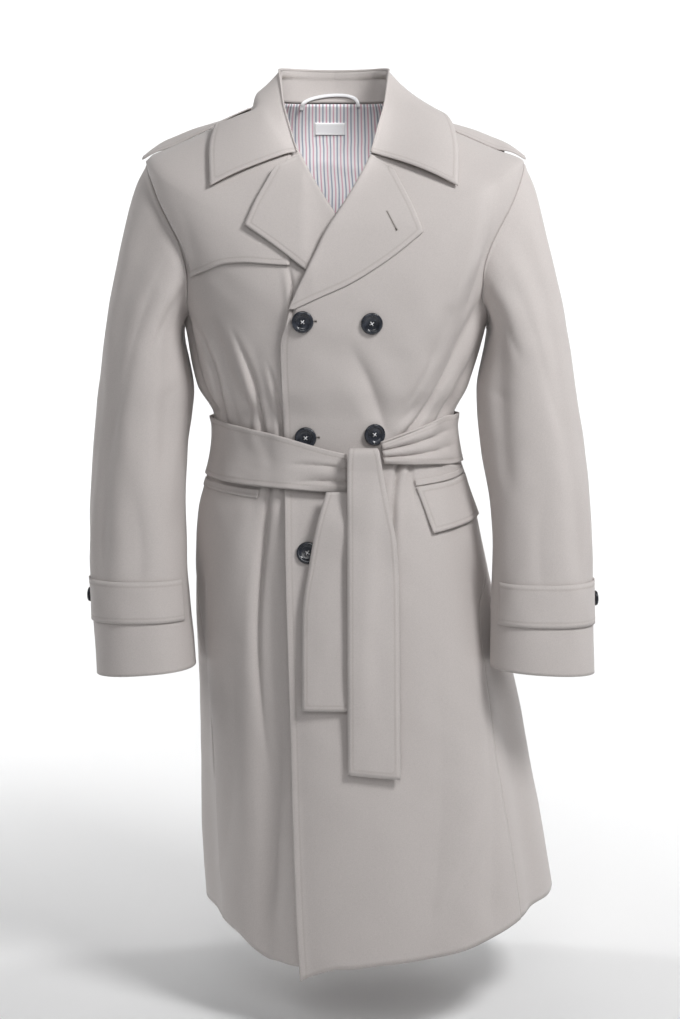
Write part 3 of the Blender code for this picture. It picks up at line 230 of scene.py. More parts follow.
SLEEVE_HEAD_INSIDE = 0.003
SLEEVE_HEAD_IN = 0.001
SLEEVE_FOLDS = (
    (-0.13, -0.64, 62, 50, 14.0, 0.006), (-0.24, -0.52, 118, 132, 13.0, 0.0055),
    (-0.18, -0.56, -70, -62, 15.0, 0.006), (-0.3, -0.6, -128, -120, 14.0, 0.005),
)

# Creases of the sleeves: place round the sleeve (0 outer, 0.09 front, 0.18 inner) and z, at both ends
SLEEVE_CREASES = (
    (0.075, -0.12, 0.062, -0.42, 0.007, 0.0022), (0.12, -0.19, 0.1, -0.33, 0.006, 0.0024),
    (0.15, -0.36, 0.12, -0.386, 0.005, 0.0008), (0.205, -0.345, 0.245, -0.385, 0.006, 0.0022),
    (0.205, -0.395, 0.25, -0.425, 0.006, 0.002), (0.28, -0.2, 0.3, -0.33, 0.009, 0.0022),
    (0.085, -0.48, 0.095, -0.61, 0.008, 0.0022), (0.31, -0.46, 0.3, -0.61, 0.009, 0.002),
    (0.02, -0.24, 0.012, -0.56, 0.009, 0.0014),
)

# Cuff straps
CUFF_STRAP_TOP = -0.611
CUFF_STRAP_LOW = -0.662
CUFF_STRAP_START = 152
CUFF_STRAP_END = -32
CUFF_STRAP_ROWS = 13
CUFF_STRAP_COLUMNS = 100
CUFF_STRAP_LIFT = 0.0003
CUFF_BUTTON_ANGLE = -6

# Half of the collar, from its front end to the centre back
COLLAR_COLUMNS = "roll_x roll_y roll_z edge_x edge_y edge_z neck_angle bulge"
COLLAR = (
    (0.048, -0.078, -0.077, 0.154, -0.108, -0.12, 44, 0.006),
    (0.057, -0.055, -0.043, 0.157, -0.068, -0.07, 54, 0.006),
    (0.067, -0.02, 0.0, 0.151, -0.026, -0.031, 72, 0.003),
    (0.071, 0.018, 0.04, 0.139, 0.018, -0.0145, 92, -0.004),
    (0.056, 0.058, 0.0465, 0.118, 0.066, -0.014, 122, -0.002),
    (0.028, 0.076, 0.0475, 0.068, 0.099, -0.024, 150, 0.006),
    (0.0, 0.08, 0.0475, 0.0, 0.108, -0.031, 180, 0.008),
)
COLLAR_STEPS = 128
COLLAR_MIDDLE_Y = 0.01
COLLAR_ROLL = 0.0013
COLLAR_STAND_OFF = 0.0042
FALL_ROWS = 26
STAND_ROWS = 15
STAND_COLUMNS = 97
STAND_ENDS = (4 / 32, 28 / 32)
STAND_INSET = 0.0026
STAND_TOP_INSET = 0.0019
STAND_RAISED = 0.0012
STAND_TOP_LOWERED = 0.0010
STAND_STITCH_ROW = 11
STAND_STITCHES = {"length": 0.0010, "pitch": 0.0014, "lean": 0.0042}

# Lapels in front view, from the notch down to the break
LAPEL_COLUMNS = "roll_x roll_z edge_x edge_z"
LEFT_LAPEL = (
    (0.049, -0.08, 0.074, -0.0965), (0.04, -0.098, 0.083, -0.115), (0.027, -0.122, 0.097, -0.144),
    (0.013, -0.146, 0.1105, -0.178), (-0.007, -0.178, 0.071, -0.21), (-0.028, -0.222, 0.019, -0.243),
    (-0.044, -0.252, -0.019, -0.26), (-0.054, -0.274, -0.0485, -0.2735),
)
RIGHT_LAPEL = (
    (-0.044, -0.08, -0.074, -0.096), (-0.035, -0.098, -0.083, -0.113), (-0.021, -0.122, -0.0965, -0.138),
    (-0.008, -0.144, -0.11, -0.169), (0.008, -0.17, -0.072, -0.196), (0.027, -0.212, -0.023, -0.233),
    (0.043, -0.248, 0.02, -0.256), (0.05, -0.264, 0.044, -0.265),
)
LAPEL_CORNER = 3
LAPEL_ROWS = 84
LAPEL_OUT = 26
LAPEL_ROLL_LIFT = 0.0030
LAPEL_ROLL_FADE = 0.040
LEFT_ROLL_LOW = -0.260
RIGHT_ROLL_LOW = -0.140
LAPEL_REACH = 0.017
LAPEL_REACH_UP = 0.005
LAPEL_REACH_UP_BREAK = 0.013
LAPEL_BREAK_X = -0.025
LAPEL_HOLE = ((0.0652, -0.1526), (0.0775, -0.1772))

# Storm flap: its lower edge's height by share of its width
STORM_EDGE = ((0.0, -0.222), (0.25, -0.203), (0.5, -0.18), (0.75, -0.166), (1.0, -0.162))
STORM_INNER_X = -0.054
STORM_LIFT = 0.0019
STORM_REACH = 0.006
STORM_TRIM = 0.09
STORM_TOP = -0.014
STORM_COLUMNS = 45
STORM_LOW_ROWS = 24
STORM_HIGH_ROWS = 12

# Belt
BELT_COLUMNS = "angle top_z low_z stand"
BELT_BAND = (
    (4.0, -0.452, -0.5015, 0.007), (-24, -0.428, -0.4955, 0.007), (-45, -0.419, -0.4915, 0.005),
    (-66, -0.413, -0.487, 0.001), (-90, -0.4095, -0.482, 0.0014), (-135, -0.406, -0.473, 0.0009),
    (-180, -0.405, -0.47, 0.0007), (-225, -0.404, -0.469, 0.0011), (-270, -0.4035, -0.468, 0.0014),
    (-296, -0.408, -0.469, 0.001), (-324, -0.422, -0.468, 0.0055), (-341.4, -0.437, -0.465, 0.006),
)
BAND_ROWS = 29
BAND_COLUMNS = 261
BAND_REACH = 0.012
GATHER_DEPTH = 0.0050
GATHER_BY_EDGE = 0.35
BELT_EDGE = 0.12
BELT_SOFT = 0.0010
BELT_SEED = 31
BELT_END_COLUMNS = "z left_x right_x y"
BELT_FRONT_TOP = (
    (-0.445, 0.02, 0.053, -0.139), (-0.4448, 0.019, 0.054, -0.1455), (-0.449, 0.0175, 0.056, -0.1515),
    (-0.46, 0.0165, 0.058, -0.1522), (-0.476, 0.0163, 0.0605, -0.1522),
)
BELT_FRONT_FALL = (
    (-0.495, 0.0163, 0.064, -0.1522), (-0.52, 0.0163, 0.069, -0.1534), (-0.56, 0.0163, 0.0765, -0.154),
    (-0.62, 0.0163, 0.0795, -0.154), (-0.832, 0.017, 0.08, -0.154),
)
BELT_BEHIND_FALL = (
    (-0.497, -0.009, 0.033, -0.145), (-0.54, -0.0215, 0.032, -0.154), (-0.58, -0.029, 0.03, -0.154),
    (-0.65, -0.0385, 0.026, -0.148), (-0.758, -0.0385, 0.024, -0.148),
)
END_COLUMNS = 13
END_ROWS = 62
END_HEAD_ROWS = 16
END_BEHIND_REACH = 0.008
END_FRONT_REACH = 0.022
END_REACH_UP = 0.030
END_CROWN = 0.0012
END_SLANT = 0.006
KNOT_MIDDLE = (0.0365, -0.1402, -0.4715)
KNOT_SIZE = (0.0370, 0.0205, 0.0500)
KNOT_FOLDS = 0.0010
KNOT_POWER = 0.75
KNOT_COLUMNS = 56
KNOT_ROWS = 15

# Pockets: angle and height of upper first, upper last, lower last and lower first corner
FLAP_LEFT = ((33.0, -0.496), (82.0, -0.483), (82.0, -0.538), (36.0, -0.552))
WELT_LEFT = ((33.0, -0.4865), (82.0, -0.4745), (82.0, -0.4815), (33.0, -0.494))
WELT_RIGHT = ((-84.0, -0.4885), (-31.0, -0.4975), (-31.0, -0.507), (-84.0, -0.498))
FLAP_STAND_OFF = 0.0030
FLAP_COLUMNS = 44
FLAP_REACH = 0.005
WELT_SUNK = 0.0007

# Buttons
BUTTON_RADIUS = 0.0135
BUTTON_HEIGHT = 0.0038
SMALL_BUTTON_RADIUS = 0.0095
SMALL_BUTTON_HEIGHT = 0.0032
BUTTON_HOLES = 4
BUTTON_SIDES = 48
HOLE_SIDES = 14
HOLE_RADIUS = 0.0011
HOLE_RING = 0.0026
STRAND_GAP = 0.00034
STRAND_RADIUS = 0.00022
STRAND_STRAY = 0.00008
STRAND_SAG = 0.0010
BUTTONS = (
    ("button_1", -0.038, -0.289), ("button_2", 0.0465, -0.291), ("button_3", -0.0345, -0.4322),
    ("button_4", 0.0498, -0.428), ("button_5", -0.0317, -0.5716), ("button_6", 0.0487, -0.5716),
)

# Buttonholes: stitches a side, their inner and outer ends, and the eyelet's first stitch, middle and size
HOLE_STITCHES = 40
HOLE_STITCH_FROM = 0.00025
HOLE_STITCH_TO = 0.0014
HOLE_STITCH_CROWN = 0.0001
HOLE_STITCH_RADIUS = 0.00024
HOLE_LIFT = 0.0001
HOLE_ENDS = (-0.008, 0.0175)
HOLE_RISE = 0.0004
EYELET_START = 33
EYELET_MIDDLE = 37
EYELET_SIZE = 0.0006
SLIT_HALF_WIDTH = 0.00042
SLIT_EYELET = 0.0007

# Epaulettes
EPAULETTE_COLUMNS = "x rise half_width"
EPAULETTE = (
    (0.108, 0.0, 0.0255), (0.13, 0.003, 0.025), (0.16, 0.0085, 0.024), (0.19, 0.013, 0.023),
    (0.215, 0.014, 0.0225), (0.236, 0.0105, 0.022), (0.248, 0.006, 0.018),
)
EPAULETTE_ROWS = 12
EPAULETTE_STEPS = 48
EPAULETTE_BUTTON_X = 0.212
EPAULETTE_BUTTON_Y = 0.004
EPAULETTE_MIDDLE_HEIGHT = -0.04
EPAULETTE_REACH = 0.006
SHOULDER_END_X = 0.232
SHOULDER_END_SLOPE = 0.45
HANG_SHARE = 0.94
HANG_FROM = 0.125
HANG_FADE = 0.035
HANG_LESS_FROM = 0.205
HANG_LESS_FADE = 0.030
HANG_MORE = 0.0028
HANG_LESS = 0.30
HANG_CURVE = 1.3

# Neck label and hanger loop
LABEL_MIDDLE = (-0.006, -0.028)
LABEL_SIZE = (0.040, 0.016)
LOOP_MIDDLE = (-0.006, -0.004)
LOOP_HALF_SPAN = 0.040
LOOP_HEIGHT = 0.021
LOOP_WIDTH = 0.00434
LOOP_CROWN = 0.0008
LOOP_LEAN = (0.003, 0.0025)
LOOP_CURVE = 0.72
NECK_SEARCH_UP = 0.003

# The fronts' lower corner and edge, the seams and the lining
CORNER_DROOP = 0.0150
CORNER_SHARE = 0.16
CORNER_CURVE = 1.3
EDGE_RAISED = 0.0034
EDGE_RAISED_SHARE = 0.030
EDGE_RAISED_FROM = -0.46
EDGE_RAISED_FADE = 0.08
SEAM_TUCK = 0.0022
LINING_LOW = -0.400
LINING_PLEAT = 0.0030
LINING_PLEAT_WIDTH = 0.0022
LINING_PLEAT_X = 0.0005
LINING_PLEAT_TOP = -0.036
LINING_PLEAT_FADE = 0.02
LINING_SIDES = (2 / 16, 14 / 16)
BREAK_Z = -0.28

# Fineness of the body's grids
FINER = 8
FRONT_COLUMNS = 120
BACK_COLUMNS = 150
LINING_COLUMNS = 97

# Sewing: the topstitch line's distance from an edge, and the sizes of its stitches
STITCH_INSET = 0.0062
FRONT_STITCH_INSET = 0.0080
STITCH_LENGTH = 0.0030
STITCH_PITCH = 0.0042
THREAD = 0.00028
FAR = 0.2
NARROWEST_CUT = 0.0101

# Rays that find the cloth
LAY_RANGE = 0.05
SEAT_RANGE = 0.02
FORWARDS = (0.0, -1.0, 0.0)
BACKWARDS = (0.0, 1.0, 0.0)
UPWARDS = (0.0, 0.0, 1.0)
DOWNWARDS = (0.0, 0.0, -1.0)

# Shirting stripe, from one pink stripe to the next
STRIPE_PITCH = 0.0095

# Colours, linear
CLOTH_LIGHT = (0.590, 0.547, 0.528, 1.0)
CLOTH_DARK = (0.552, 0.510, 0.492, 1.0)
CLOTH_WORN = (0.70, 0.66, 0.62, 1.0)
# Painted shade for the groove along topstitching
GROOVE_PAINTED_SHADE = (0.93, 0.925, 0.92, 1.0)
THREAD_COLOUR = (0.500, 0.455, 0.425, 1.0)
SHIRTING_WHITE = (0.930, 0.920, 0.930, 1.0)
SHIRTING_PINK = (0.720, 0.440, 0.530, 1.0)
SHIRTING_GREY = (0.370, 0.400, 0.500, 1.0)
WHITE = (0.920, 0.920, 0.930, 1.0)
RIB_SHADE = (0.93, 0.93, 0.94, 1.0)
SHIRTING_STOPS = (
    (0.00, SHIRTING_PINK),
    (0.17, SHIRTING_PINK),
    (0.23, SHIRTING_WHITE),
    (0.47, SHIRTING_WHITE),
    (0.53, SHIRTING_GREY),
    (0.68, SHIRTING_GREY),
    (0.74, SHIRTING_WHITE),
    (0.95, SHIRTING_WHITE),
)
HORN = (0.010, 0.012, 0.018, 1.0)
HORN_LIGHT = (0.045, 0.050, 0.065, 1.0)
# Painted shade for the gap in a buttonhole's slit
SLIT_PAINTED_SHADE_DARK = (0.05, 0.045, 0.04, 1.0)
SLIT_PAINTED_SHADE_LIGHT = (0.10, 0.09, 0.085, 1.0)

# Floor, lights (name, place, target, size, power) and camera
FLOOR_Z = -1.150
FLOOR_FRONT = -6.0
FLOOR_BEND = 2.0
FLOOR_STEPS = 16
BACKDROP_TOP = 7.0
BACKDROP_HALF_WIDTH = 9.0
WORLD_COLOUR = (0.95, 0.97, 1.0, 1.0)
WORLD_STRENGTH = 0.13
LIGHTS = (
    ("key", (1.20, -1.30, 1.10), (0.0, 0.0, -0.25), 0.7, 37.0),
    ("front", (-0.15, -2.5, 0.8), (0.0, 0.0, -0.05), 1.2, 13.0),
    ("backdrop_left", (-2.6, 0.9, 0.6), (-0.6, 4.0, 0.3), 2.0, 90.0),
    ("backdrop_right", (2.6, 0.9, 0.6), (0.6, 4.0, 0.3), 2.0, 90.0),
)
NECK_LIGHT = ((0.0, -1.60, 0.36), (0.0, 0.10, -0.075))
NECK_LIGHT_POWER = 85.0
NECK_LIGHT_ANGLE = 6.2
NECK_LIGHT_SIZE = 0.05
CAMERA_PLACE = (0.0078, -2.4, -0.299)
CAMERA_CLIP = (0.05, 50.0)
METRES_PER_PIXEL = 0.0013
IMAGE_HEIGHT = 1019
HORIZON_ROW = 330.0
SENSOR = 36.0


# ---------------------------------------------------------------- curves and the coat's form


def curve_through(keys, values):
    """A smooth curve that keeps to the values' rises and falls, for numbers or arrays."""
    order = np.argsort(keys)
    xs = np.asarray(keys, float)[order]
    ys = np.asarray(values, float)[order]
    step = np.diff(xs)
    slope = np.diff(ys) / step
    tangent = np.concatenate([slope[:1], np.zeros(len(xs) - 2), slope[-1:]])
    for i in range(1, len(xs) - 1):
        if slope[i - 1] * slope[i] > 0:
            first = 2 * step[i] + step[i - 1]
            second = step[i] + 2 * step[i - 1]
            tangent[i] = (first + second) / (first / slope[i - 1] + second / slope[i])

    def value(x):
        x = np.clip(np.asarray(x, float), xs[0], xs[-1])
        i = np.clip(np.searchsorted(xs, x) - 1, 0, len(step) - 1)
        t = (x - xs[i]) / step[i]
        rise = ys[i] * (2 * t**3 - 3 * t**2 + 1) + ys[i + 1] * (3 * t**2 - 2 * t**3)
        bend = tangent[i] * (t**3 - 2 * t**2 + t) + tangent[i + 1] * (t**3 - t**2)
        return rise + bend * step[i]

    return value


def table_curves(rows, columns, key=None):
    """A curve for each named column of a table, along its key column or else its rows."""
    columns = columns.split()
    keys = [row[columns.index(key)] for row in rows] if key else range(len(rows))
    return {name: curve_through(keys, [row[i] for row in rows]) for i, name in enumerate(columns)}


def read(curves, place):
    return {name: curve(place) for name, curve in curves.items()}


def smooth_step(t):
    t = np.clip(t, 0.0, 1.0)
    return t * t * (3 - 2 * t)


def hump(away):
    return np.exp(-(away**2))


def mix(a, b, t):
    return a + (b - a) * t


def signed_power(value, power):
    return np.sign(value) * np.abs(value) ** power


def wrapped(angle):
    return (angle + 180) % 360 - 180


def stack(x, y, z):
    return np.stack(np.broadcast_arrays(x, y, z), -1)


def unit(vectors):
    return vectors / np.maximum(np.linalg.norm(vectors, axis=-1, keepdims=True), 1e-12)


def bisected(low, high, before):
    """The place between low and high where a test stops holding, for arrays."""
    for _ in range(40):
        middle = (low + high) / 2
        holds = before(middle)
        low = np.where(holds, middle, low)
        high = np.where(holds, high, middle)
    return (low + high) / 2


SECTION = table_curves(SECTIONS, SECTION_COLUMNS, "height")
SEAM = table_curves(SIDE_SEAMS, SEAM_COLUMNS, "share")
EDGE = table_curves(FRONT_EDGES, FRONT_EDGE_COLUMNS, "z")
HEM_FALL = curve_through(*zip(*HEM_DROP))
LEFT_FRONT_LIFT = curve_through(*zip(*LEFT_LIFT))


def form(angle, height):
    """Points of the coat's smooth form."""
    angle, height = np.broadcast_arrays(np.asarray(angle, float), np.asarray(height, float))
    s = read(SECTION, height)
    sine, cosine = np.sin(np.radians(angle)), np.cos(np.radians(angle))
    power = 2 / s["squareness"]
    depth = np.where(cosine > 0, s["front_y"], s["back_y"]) - s["side_y"]
    dip = np.where(cosine > 0, s["front_z"], s["back_z"]) * cosine**2
    x = (s["low_x"] + s["high_x"]) / 2 + (s["high_x"] - s["low_x"]) / 2 * signed_power(sine, power)
    return stack(x, s["side_y"] + depth * np.abs(cosine) ** power, height + dip)


def form_normal(angle, height):
    along = form(angle + 0.5, height) - form(angle - 0.5, height)
    up = form(angle, height + 0.002) - form(angle, height - 0.002)
    return unit(np.cross(along, up))


def fold_depth(angle, z, folds, fade_low):
    """How far the main folds press the cloth inwards."""
    total = 0.0
    for top_z, low_z, top_angle, low_angle, width, depth in folds:
        share = np.clip((top_z - z) / (top_z - low_z), 0.0, 1.0)
        away = wrapped(angle - mix(top_angle, low_angle, share))
        fade = smooth_step((top_z - z) / FOLD_FADE) * smooth_step((z - low_z) / fade_low)
        total = total + depth * fade * hump(away / width)
    return total


def crease_depth(u, v, creases):
    """Valleys with a soft ridge on each side, along slightly bowed lines on a plane."""
    total = np.zeros(np.broadcast(u, v).shape)
    for u0, v0, u1, v1, width, depth in creases:
        long = math.hypot(u1 - u0, v1 - v0)
        along = ((u - u0) * (u1 - u0) + (v - v0) * (v1 - v0)) / long**2
        bow = CREASE_BOW * long * np.sin(math.pi * np.clip(along, 0, 1))
        off = (((u - u0) * (v1 - v0) - (v - v0) * (u1 - u0)) / long + bow) / width
        ends = smooth_step(along / CREASE_FULL) * smooth_step((CREASE_STOP - along) / CREASE_FADE)
        ridges = hump((off - RIDGE_PLACE) / RIDGE_WIDTH) + 0.5 * hump((off + RIDGE_PLACE) / RIDGE_WIDTH)
        total = total + depth * ends * (np.exp(-np.abs(off) ** 1.5) - RIDGE_SHARE * ridges)
    return total


def ripple(u, v, seed, size=1.0):
    """Seeded soft unevenness of hanging cloth, mostly in long lines down it."""
    chance = np.random.default_rng(seed)
    total = 0.0
    for wave, tall, height in RIPPLES:
        for _ in range(3):
            phase, bend, lean = chance.uniform(0, math.tau, 3)
            across = u / (wave * chance.uniform(0.8, 1.25)) + 0.25 * math.sin(lean) * v / wave
            down = v / (wave * tall * chance.uniform(0.8, 1.25))
            total = total + height * np.sin(math.tau * across + phase) * np.sin(math.tau * down + bend)
    return total * size


def skirt_share(height):
    return np.clip((SKIRT_TOP - height) / (SKIRT_TOP - HEM_SIDE), 0.0, 1.0)


def hung(angle, height):
    return height - HEM_FALL(wrapped(np.asarray(angle, float))) * skirt_share(height)


def cloth(angle, height, lift=0.0):
    """Points of the cloth: the form with its folds and creases, moved out by lift."""
    height = hung(angle, height)
    point = form(angle, height)
    x, z = point[..., 0], point[..., 2]
    front = smooth_step(0.5 + 3 * np.cos(np.radians(angle)))
    inwards = fold_depth(angle, z, FOLDS, FOLD_FADE / 2)
    inwards = inwards + front * crease_depth(x, z, FRONT_CREASES)
    inwards = inwards + (1 - front) * crease_depth(x, z, BACK_CREASES)
    uneven = ripple(np.radians(angle) * BODY_ROUND, z, BODY_SEED) * smooth_step((SHOULDER - z) / RIPPLE_FADE)
    return point + form_normal(angle, height) * np.asarray(lift - inwards - uneven)[..., None]


def armhole_angle(height):
    """How far from the centre front or the centre back the armhole is, in degrees."""
    share = np.clip((height - ARMPIT) / (SHOULDER - ARMPIT), 1e-9, 1 - 1e-9)
    arc = np.sin(np.arccos(1 - 2 * share))
    reach = np.degrees(np.arccos((ARMHOLE_DEPTH * arc) ** (SECTION["squareness"](height) / 2)))
    return np.where((height > ARMPIT) & (height < SHOULDER), reach, 90.0)


def side_seam(height, sign):
    return SEAM["left" if sign > 0 else "right"](skirt_share(height))


def front_outer(height, sign):
    return sign * np.where(height > ARMPIT, armhole_angle(height), side_seam(height, sign))


def angle_at_edge(height, edge_x):
    """The angle on each row where its x meets an edge that is given as x for each z."""

    def before(angle):
        point = form(angle, hung(angle, height))
        return point[..., 0] < edge_x(point[..., 2])

    return bisected(-FURTHEST_EDGE_ANGLE, FURTHEST_EDGE_ANGLE, before)


def row_heights(skirt, bodice, armhole, yoke):
    """Heights of the panels' rows, from the hem up to the neck, closer at the armhole's two ends."""
    turn = np.pi * np.arange(armhole) / armhole
    return np.concatenate([
        mix(HEM_SIDE, SKIRT_TOP, np.arange(skirt) / skirt),
        mix(SKIRT_TOP, ARMPIT, np.arange(bodice) / bodice),
        mix(ARMPIT, SHOULDER, (1 - np.cos(turn)) / 2),
        mix(SHOULDER, NECK, np.arange(yoke + 1) / yoke),
    ])


ROWS = row_heights(11 * FINER, 8 * FINER, 8 * FINER, 4 * FINER)


# ---------------------------------------------------------------- grids, meshes and stitches


def grid_faces(grid, closed=False):
    rows, columns = grid.shape[:2]
    i, j = np.meshgrid(np.arange(rows - 1), np.arange(columns if closed else columns - 1), indexing="ij")
    low, k = i * columns, (j + 1) % columns
    return np.stack([low + j, low + k, low + columns + k, low + columns + j], -1).reshape(-1, 4)


def grid_normals(grid, closed=False):
    across = np.roll(grid, -1, 1) - np.roll(grid, 1, 1) if closed else np.gradient(grid, axis=1)
    return unit(np.cross(across, np.gradient(grid, axis=0)))


def borders(grid):
    return {"low": grid[0], "top": grid[-1], "first": grid[:, 0], "last": grid[:, -1]}


def smooth_rows(rows, count):
    """The rows resampled on smooth curves through them."""
    last = len(rows) - 1
    place = np.linspace(0, last, count)
    i = np.clip(place.astype(int), 0, last - 1)
    t = (place - i)[:, None]
    p0, p1, p2, p3 = (np.array(rows)[np.clip(i + k, 0, last)] for k in (-1, 0, 1, 2))
    return p1 + 0.5 * t * (p2 - p0 + t * (2 * p0 - 5 * p1 + 4 * p2 - p3 + t * (3 * (p1 - p2) + p3 - p0)))


def joined(shapes):
    """The points and faces of several shapes as one."""
    points = []
    faces = []
    for some, tied in shapes:
        faces += [tuple(len(points) + k for k in face) for face in tied]
        points += list(some)
    return points, faces


def grid_tree(*grids):
    points, faces = joined((grid.reshape(-1, 3), grid_faces(grid).tolist()) for grid in grids)
    return BVHTree.FromPolygons([Vector(point) for point in points], faces)


def lengths(grid, axis):
    """How far along each row or column every point is, in metres of cloth."""
    step = np.linalg.norm(np.diff(grid, axis=axis), axis=-1)
    zero = np.zeros_like(np.take(step, [0], axis))
    return np.cumsum(np.concatenate([zero, step], axis), axis)


def cut_size(grid, closed):
    """The flat width, length and area of a grid of cloth."""
    ring = np.concatenate([grid, grid[:, :1]], 1) if closed else grid
    a = np.cross(ring[:-1, 1:] - ring[:-1, :-1], ring[1:, :-1] - ring[:-1, :-1])
    b = np.cross(ring[1:, :-1] - ring[1:, 1:], ring[:-1, 1:] - ring[1:, 1:])
    area = float((np.linalg.norm(a, axis=-1) + np.linalg.norm(b, axis=-1)).sum() / 2)
    sides = (lengths(ring, 1)[:, -1].max(), lengths(ring, 0)[-1].max())
    return [max(float(side), NARROWEST_CUT) for side in sides], area


def edge_distance(points, edges):
    """The distance of every point to the nearest of some edge lines."""
    best = np.full(len(points), FAR)
    for line in edges:
        a = line[:-1]
        ab = line[1:] - a
        square = np.maximum((ab**2).sum(-1), 1e-12)
        for start in range(0, len(points), 2000):
            ap = points[start : start + 2000, None] - a[None]
            t = np.clip((ap * ab).sum(-1) / square, 0, 1)
            gap = np.linalg.norm(ap - t[..., None] * ab, axis=-1).min(1)
            best[start : start + 2000] = np.minimum(best[start : start + 2000], gap)
    return best


def add_object(name, data):
    thing = bpy.data.objects.new(name, data)
    bpy.context.scene.collection.objects.link(thing)
    return thing


def mesh_object(name, points, faces, material, smooth=True):
    mesh = bpy.data.meshes.new(name)
    mesh.from_pydata([tuple(point) for point in points], [], [tuple(face) for face in faces])
    mesh.materials.append(material)
    if smooth:
        mesh.shade_smooth()
    return add_object(name, mesh)


def worn(thing):
    """The piece set on the coat's one body."""
    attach(thing, "root")
    return thing


def add_values(mesh, name, values):
    layer = mesh.attributes.new(name, "FLOAT", "POINT")
    layer.data.foreach_set("value", np.asarray(values, float))


def add_weave(mesh, grid):
    """UVs in metres of cloth, across from the middle column and along the warp."""
    middle = grid.shape[1] // 2
    across = lengths(grid, 1)
    down = np.broadcast_to(lengths(grid, 0)[:, middle : middle + 1], across.shape)
    uv = stack(across - across[:, middle : middle + 1], down, 0.0)[..., :2].reshape(-1, 2)
    index = np.empty(len(mesh.loops), int)
    mesh.loops.foreach_get("vertex_index", index)
    mesh.uv_layers.new(name="weave").data.foreach_set("uv", uv[index].ravel())


def contour(values, faces, level):
    """The lines on a mesh of quads where the values pass a level, as chains of vertex pairs."""
    triangles = np.concatenate([faces[:, [0, 1, 2]], faces[:, [0, 2, 3]]])
    above = (values[triangles] > level).sum(1)
    links = {}
    for triangle in triangles[(above > 0) & (above < 3)].tolist():
        pairs = [tuple(sorted((triangle[a], triangle[b]))) for a, b in ((0, 1), (1, 2), (2, 0))]
        ends = [(p, q) for p, q in pairs if (values[p] > level) != (values[q] > level)]
        links.setdefault(ends[0], []).append(ends[1])
        links.setdefault(ends[1], []).append(ends[0])
    chains = []
    left = set(links)
    for start in sorted(links, key=lambda key: (len(links[key]), key)):
        key = start if start in left else None
        chain = []
        while key is not None:
            chain.append(key)
            left.discard(key)
            key = next((near for near in links[key] if near in left), None)
        if chain:
            chains.append(np.array(chain))
    return chains


def stitch_lines(grid, faces, closed, values, level):
    """The lines and normals on a grid where the values pass a level."""
    points = grid.reshape(-1, 3)
    normals = grid_normals(grid, closed).reshape(-1, 3)
    lines = []
    for chain in contour(values, faces, level):
        low, high = chain.T
        share = ((level - values[low]) / (values[high] - values[low]))[:, None]
        line = points[low] * (1 - share) + points[high] * share
        lines.append((line, unit(normals[low] * (1 - share) + normals[high] * share)))
    return lines


def stitch_shapes(line, out, lift, length=STITCH_LENGTH, pitch=STITCH_PITCH, lean=0.0):
    """Points and faces of a row of small stitches along a line."""
    travel = np.concatenate([[0], np.cumsum(np.linalg.norm(np.diff(line, axis=0), axis=1))])
    if travel[-1] < 2 * pitch:
        return [], []

    def at(values, place):
        return np.array([np.interp(place, travel, values[:, k]) for k in range(3)])

    stitches = []
    faces = [(0, 2 + (k + 1) % 4, 2 + k) for k in range(4)] + [(1, 2 + k, 2 + (k + 1) % 4) for k in range(4)]
    for number, start in enumerate(np.arange(pitch / 2, travel[-1] - length, pitch)):
        first, last = at(line, start), at(line, start + length)
        normal = unit(at(out, start))
        side = np.cross(normal, unit(last - first))
        shift = side * lean * (1 if number % 2 else -1)
        middle = (first + last) / 2 + normal * lift
        low = normal * (lift - THREAD)
        waist = [middle + way * THREAD for way in (side, normal, -side, -normal)]
        stitches.append(([first + low - shift, last + low + shift] + waist, faces))
    return joined(stitches)


def add_stitches(name, lines, lift, **sizes):
    """One object of all the stitches on a piece, from (line, normals) pairs."""
    points, faces = joined(stitch_shapes(line, out, lift, **sizes) for line, out in lines)
    return worn(mesh_object("stitches_" + name, points, faces, LOOKS["thread"]))


def add_cloth(
    name, grid, wall, rests_on=(), edges=(), closed=False, inset=STITCH_INSET, slot="gabardine"
):
    """A piece of cloth from a grid of points, with its weave, its edges' stitches and its cut."""
    points = grid.reshape(-1, 3)
    faces = grid_faces(grid, closed)
    thing = mesh_object("cloth_" + name, points, faces, LOOKS[slot])
    add_weave(thing.data, grid)
    distance = edge_distance(points, edges)
    add_values(thing.data, "edge", distance)
    add_values(thing.data, "inset", np.full(len(points), inset))
    solid = thing.modifiers.new("wall", "SOLIDIFY")
    solid.thickness = wall
    solid.offset = 0.0
    if edges:
        lines = stitch_lines(grid, faces, closed, distance, inset)
        add_stitches(name, lines, wall / 2 + THREAD * 0.4)
    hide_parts(name)
    worn(thing)
    flat, area = cut_size(grid, closed)
    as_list(rests_on)


# ---------------------------------------------------------------- materials


def set_inputs(node, inputs):
    """Gives a node's inputs, by index or name, a value or another node's output."""
    for key, value in inputs.items():
        if isinstance(value, bpy.types.NodeSocket):
            node.id_data.links.new(value, node.inputs[key])
        else:
            node.inputs[key].default_value = value


def add_node(tree, kind, inputs, **settings):
    made = tree.nodes.new("ShaderNode" + kind)
    for name, value in settings.items():
        setattr(made, name, value)
    set_inputs(made, inputs)
    return made.outputs


def make_material(name, build, *facts):
    """A material whose shader gets the inputs that a function builds in its node tree."""
    material = bpy.data.materials.new(name)
    material.use_nodes = True
    set_inputs(material.node_tree.nodes["Principled BSDF"], build(material.node_tree, *facts))
    return material


def math_node(tree, operation, *values):
    return add_node(tree, "Math", dict(enumerate(values)), operation=operation)[0]


def map_range(tree, value, low, high, last=1.0, kind="LINEAR"):
    inputs = {"Value": value, "From Max": last, "To Min": low, "To Max": high}
    return add_node(tree, "MapRange", inputs, interpolation_type=kind)["Result"]


def attribute(tree, name):
    return add_node(tree, "Attribute", {}, attribute_name=name)["Fac"]


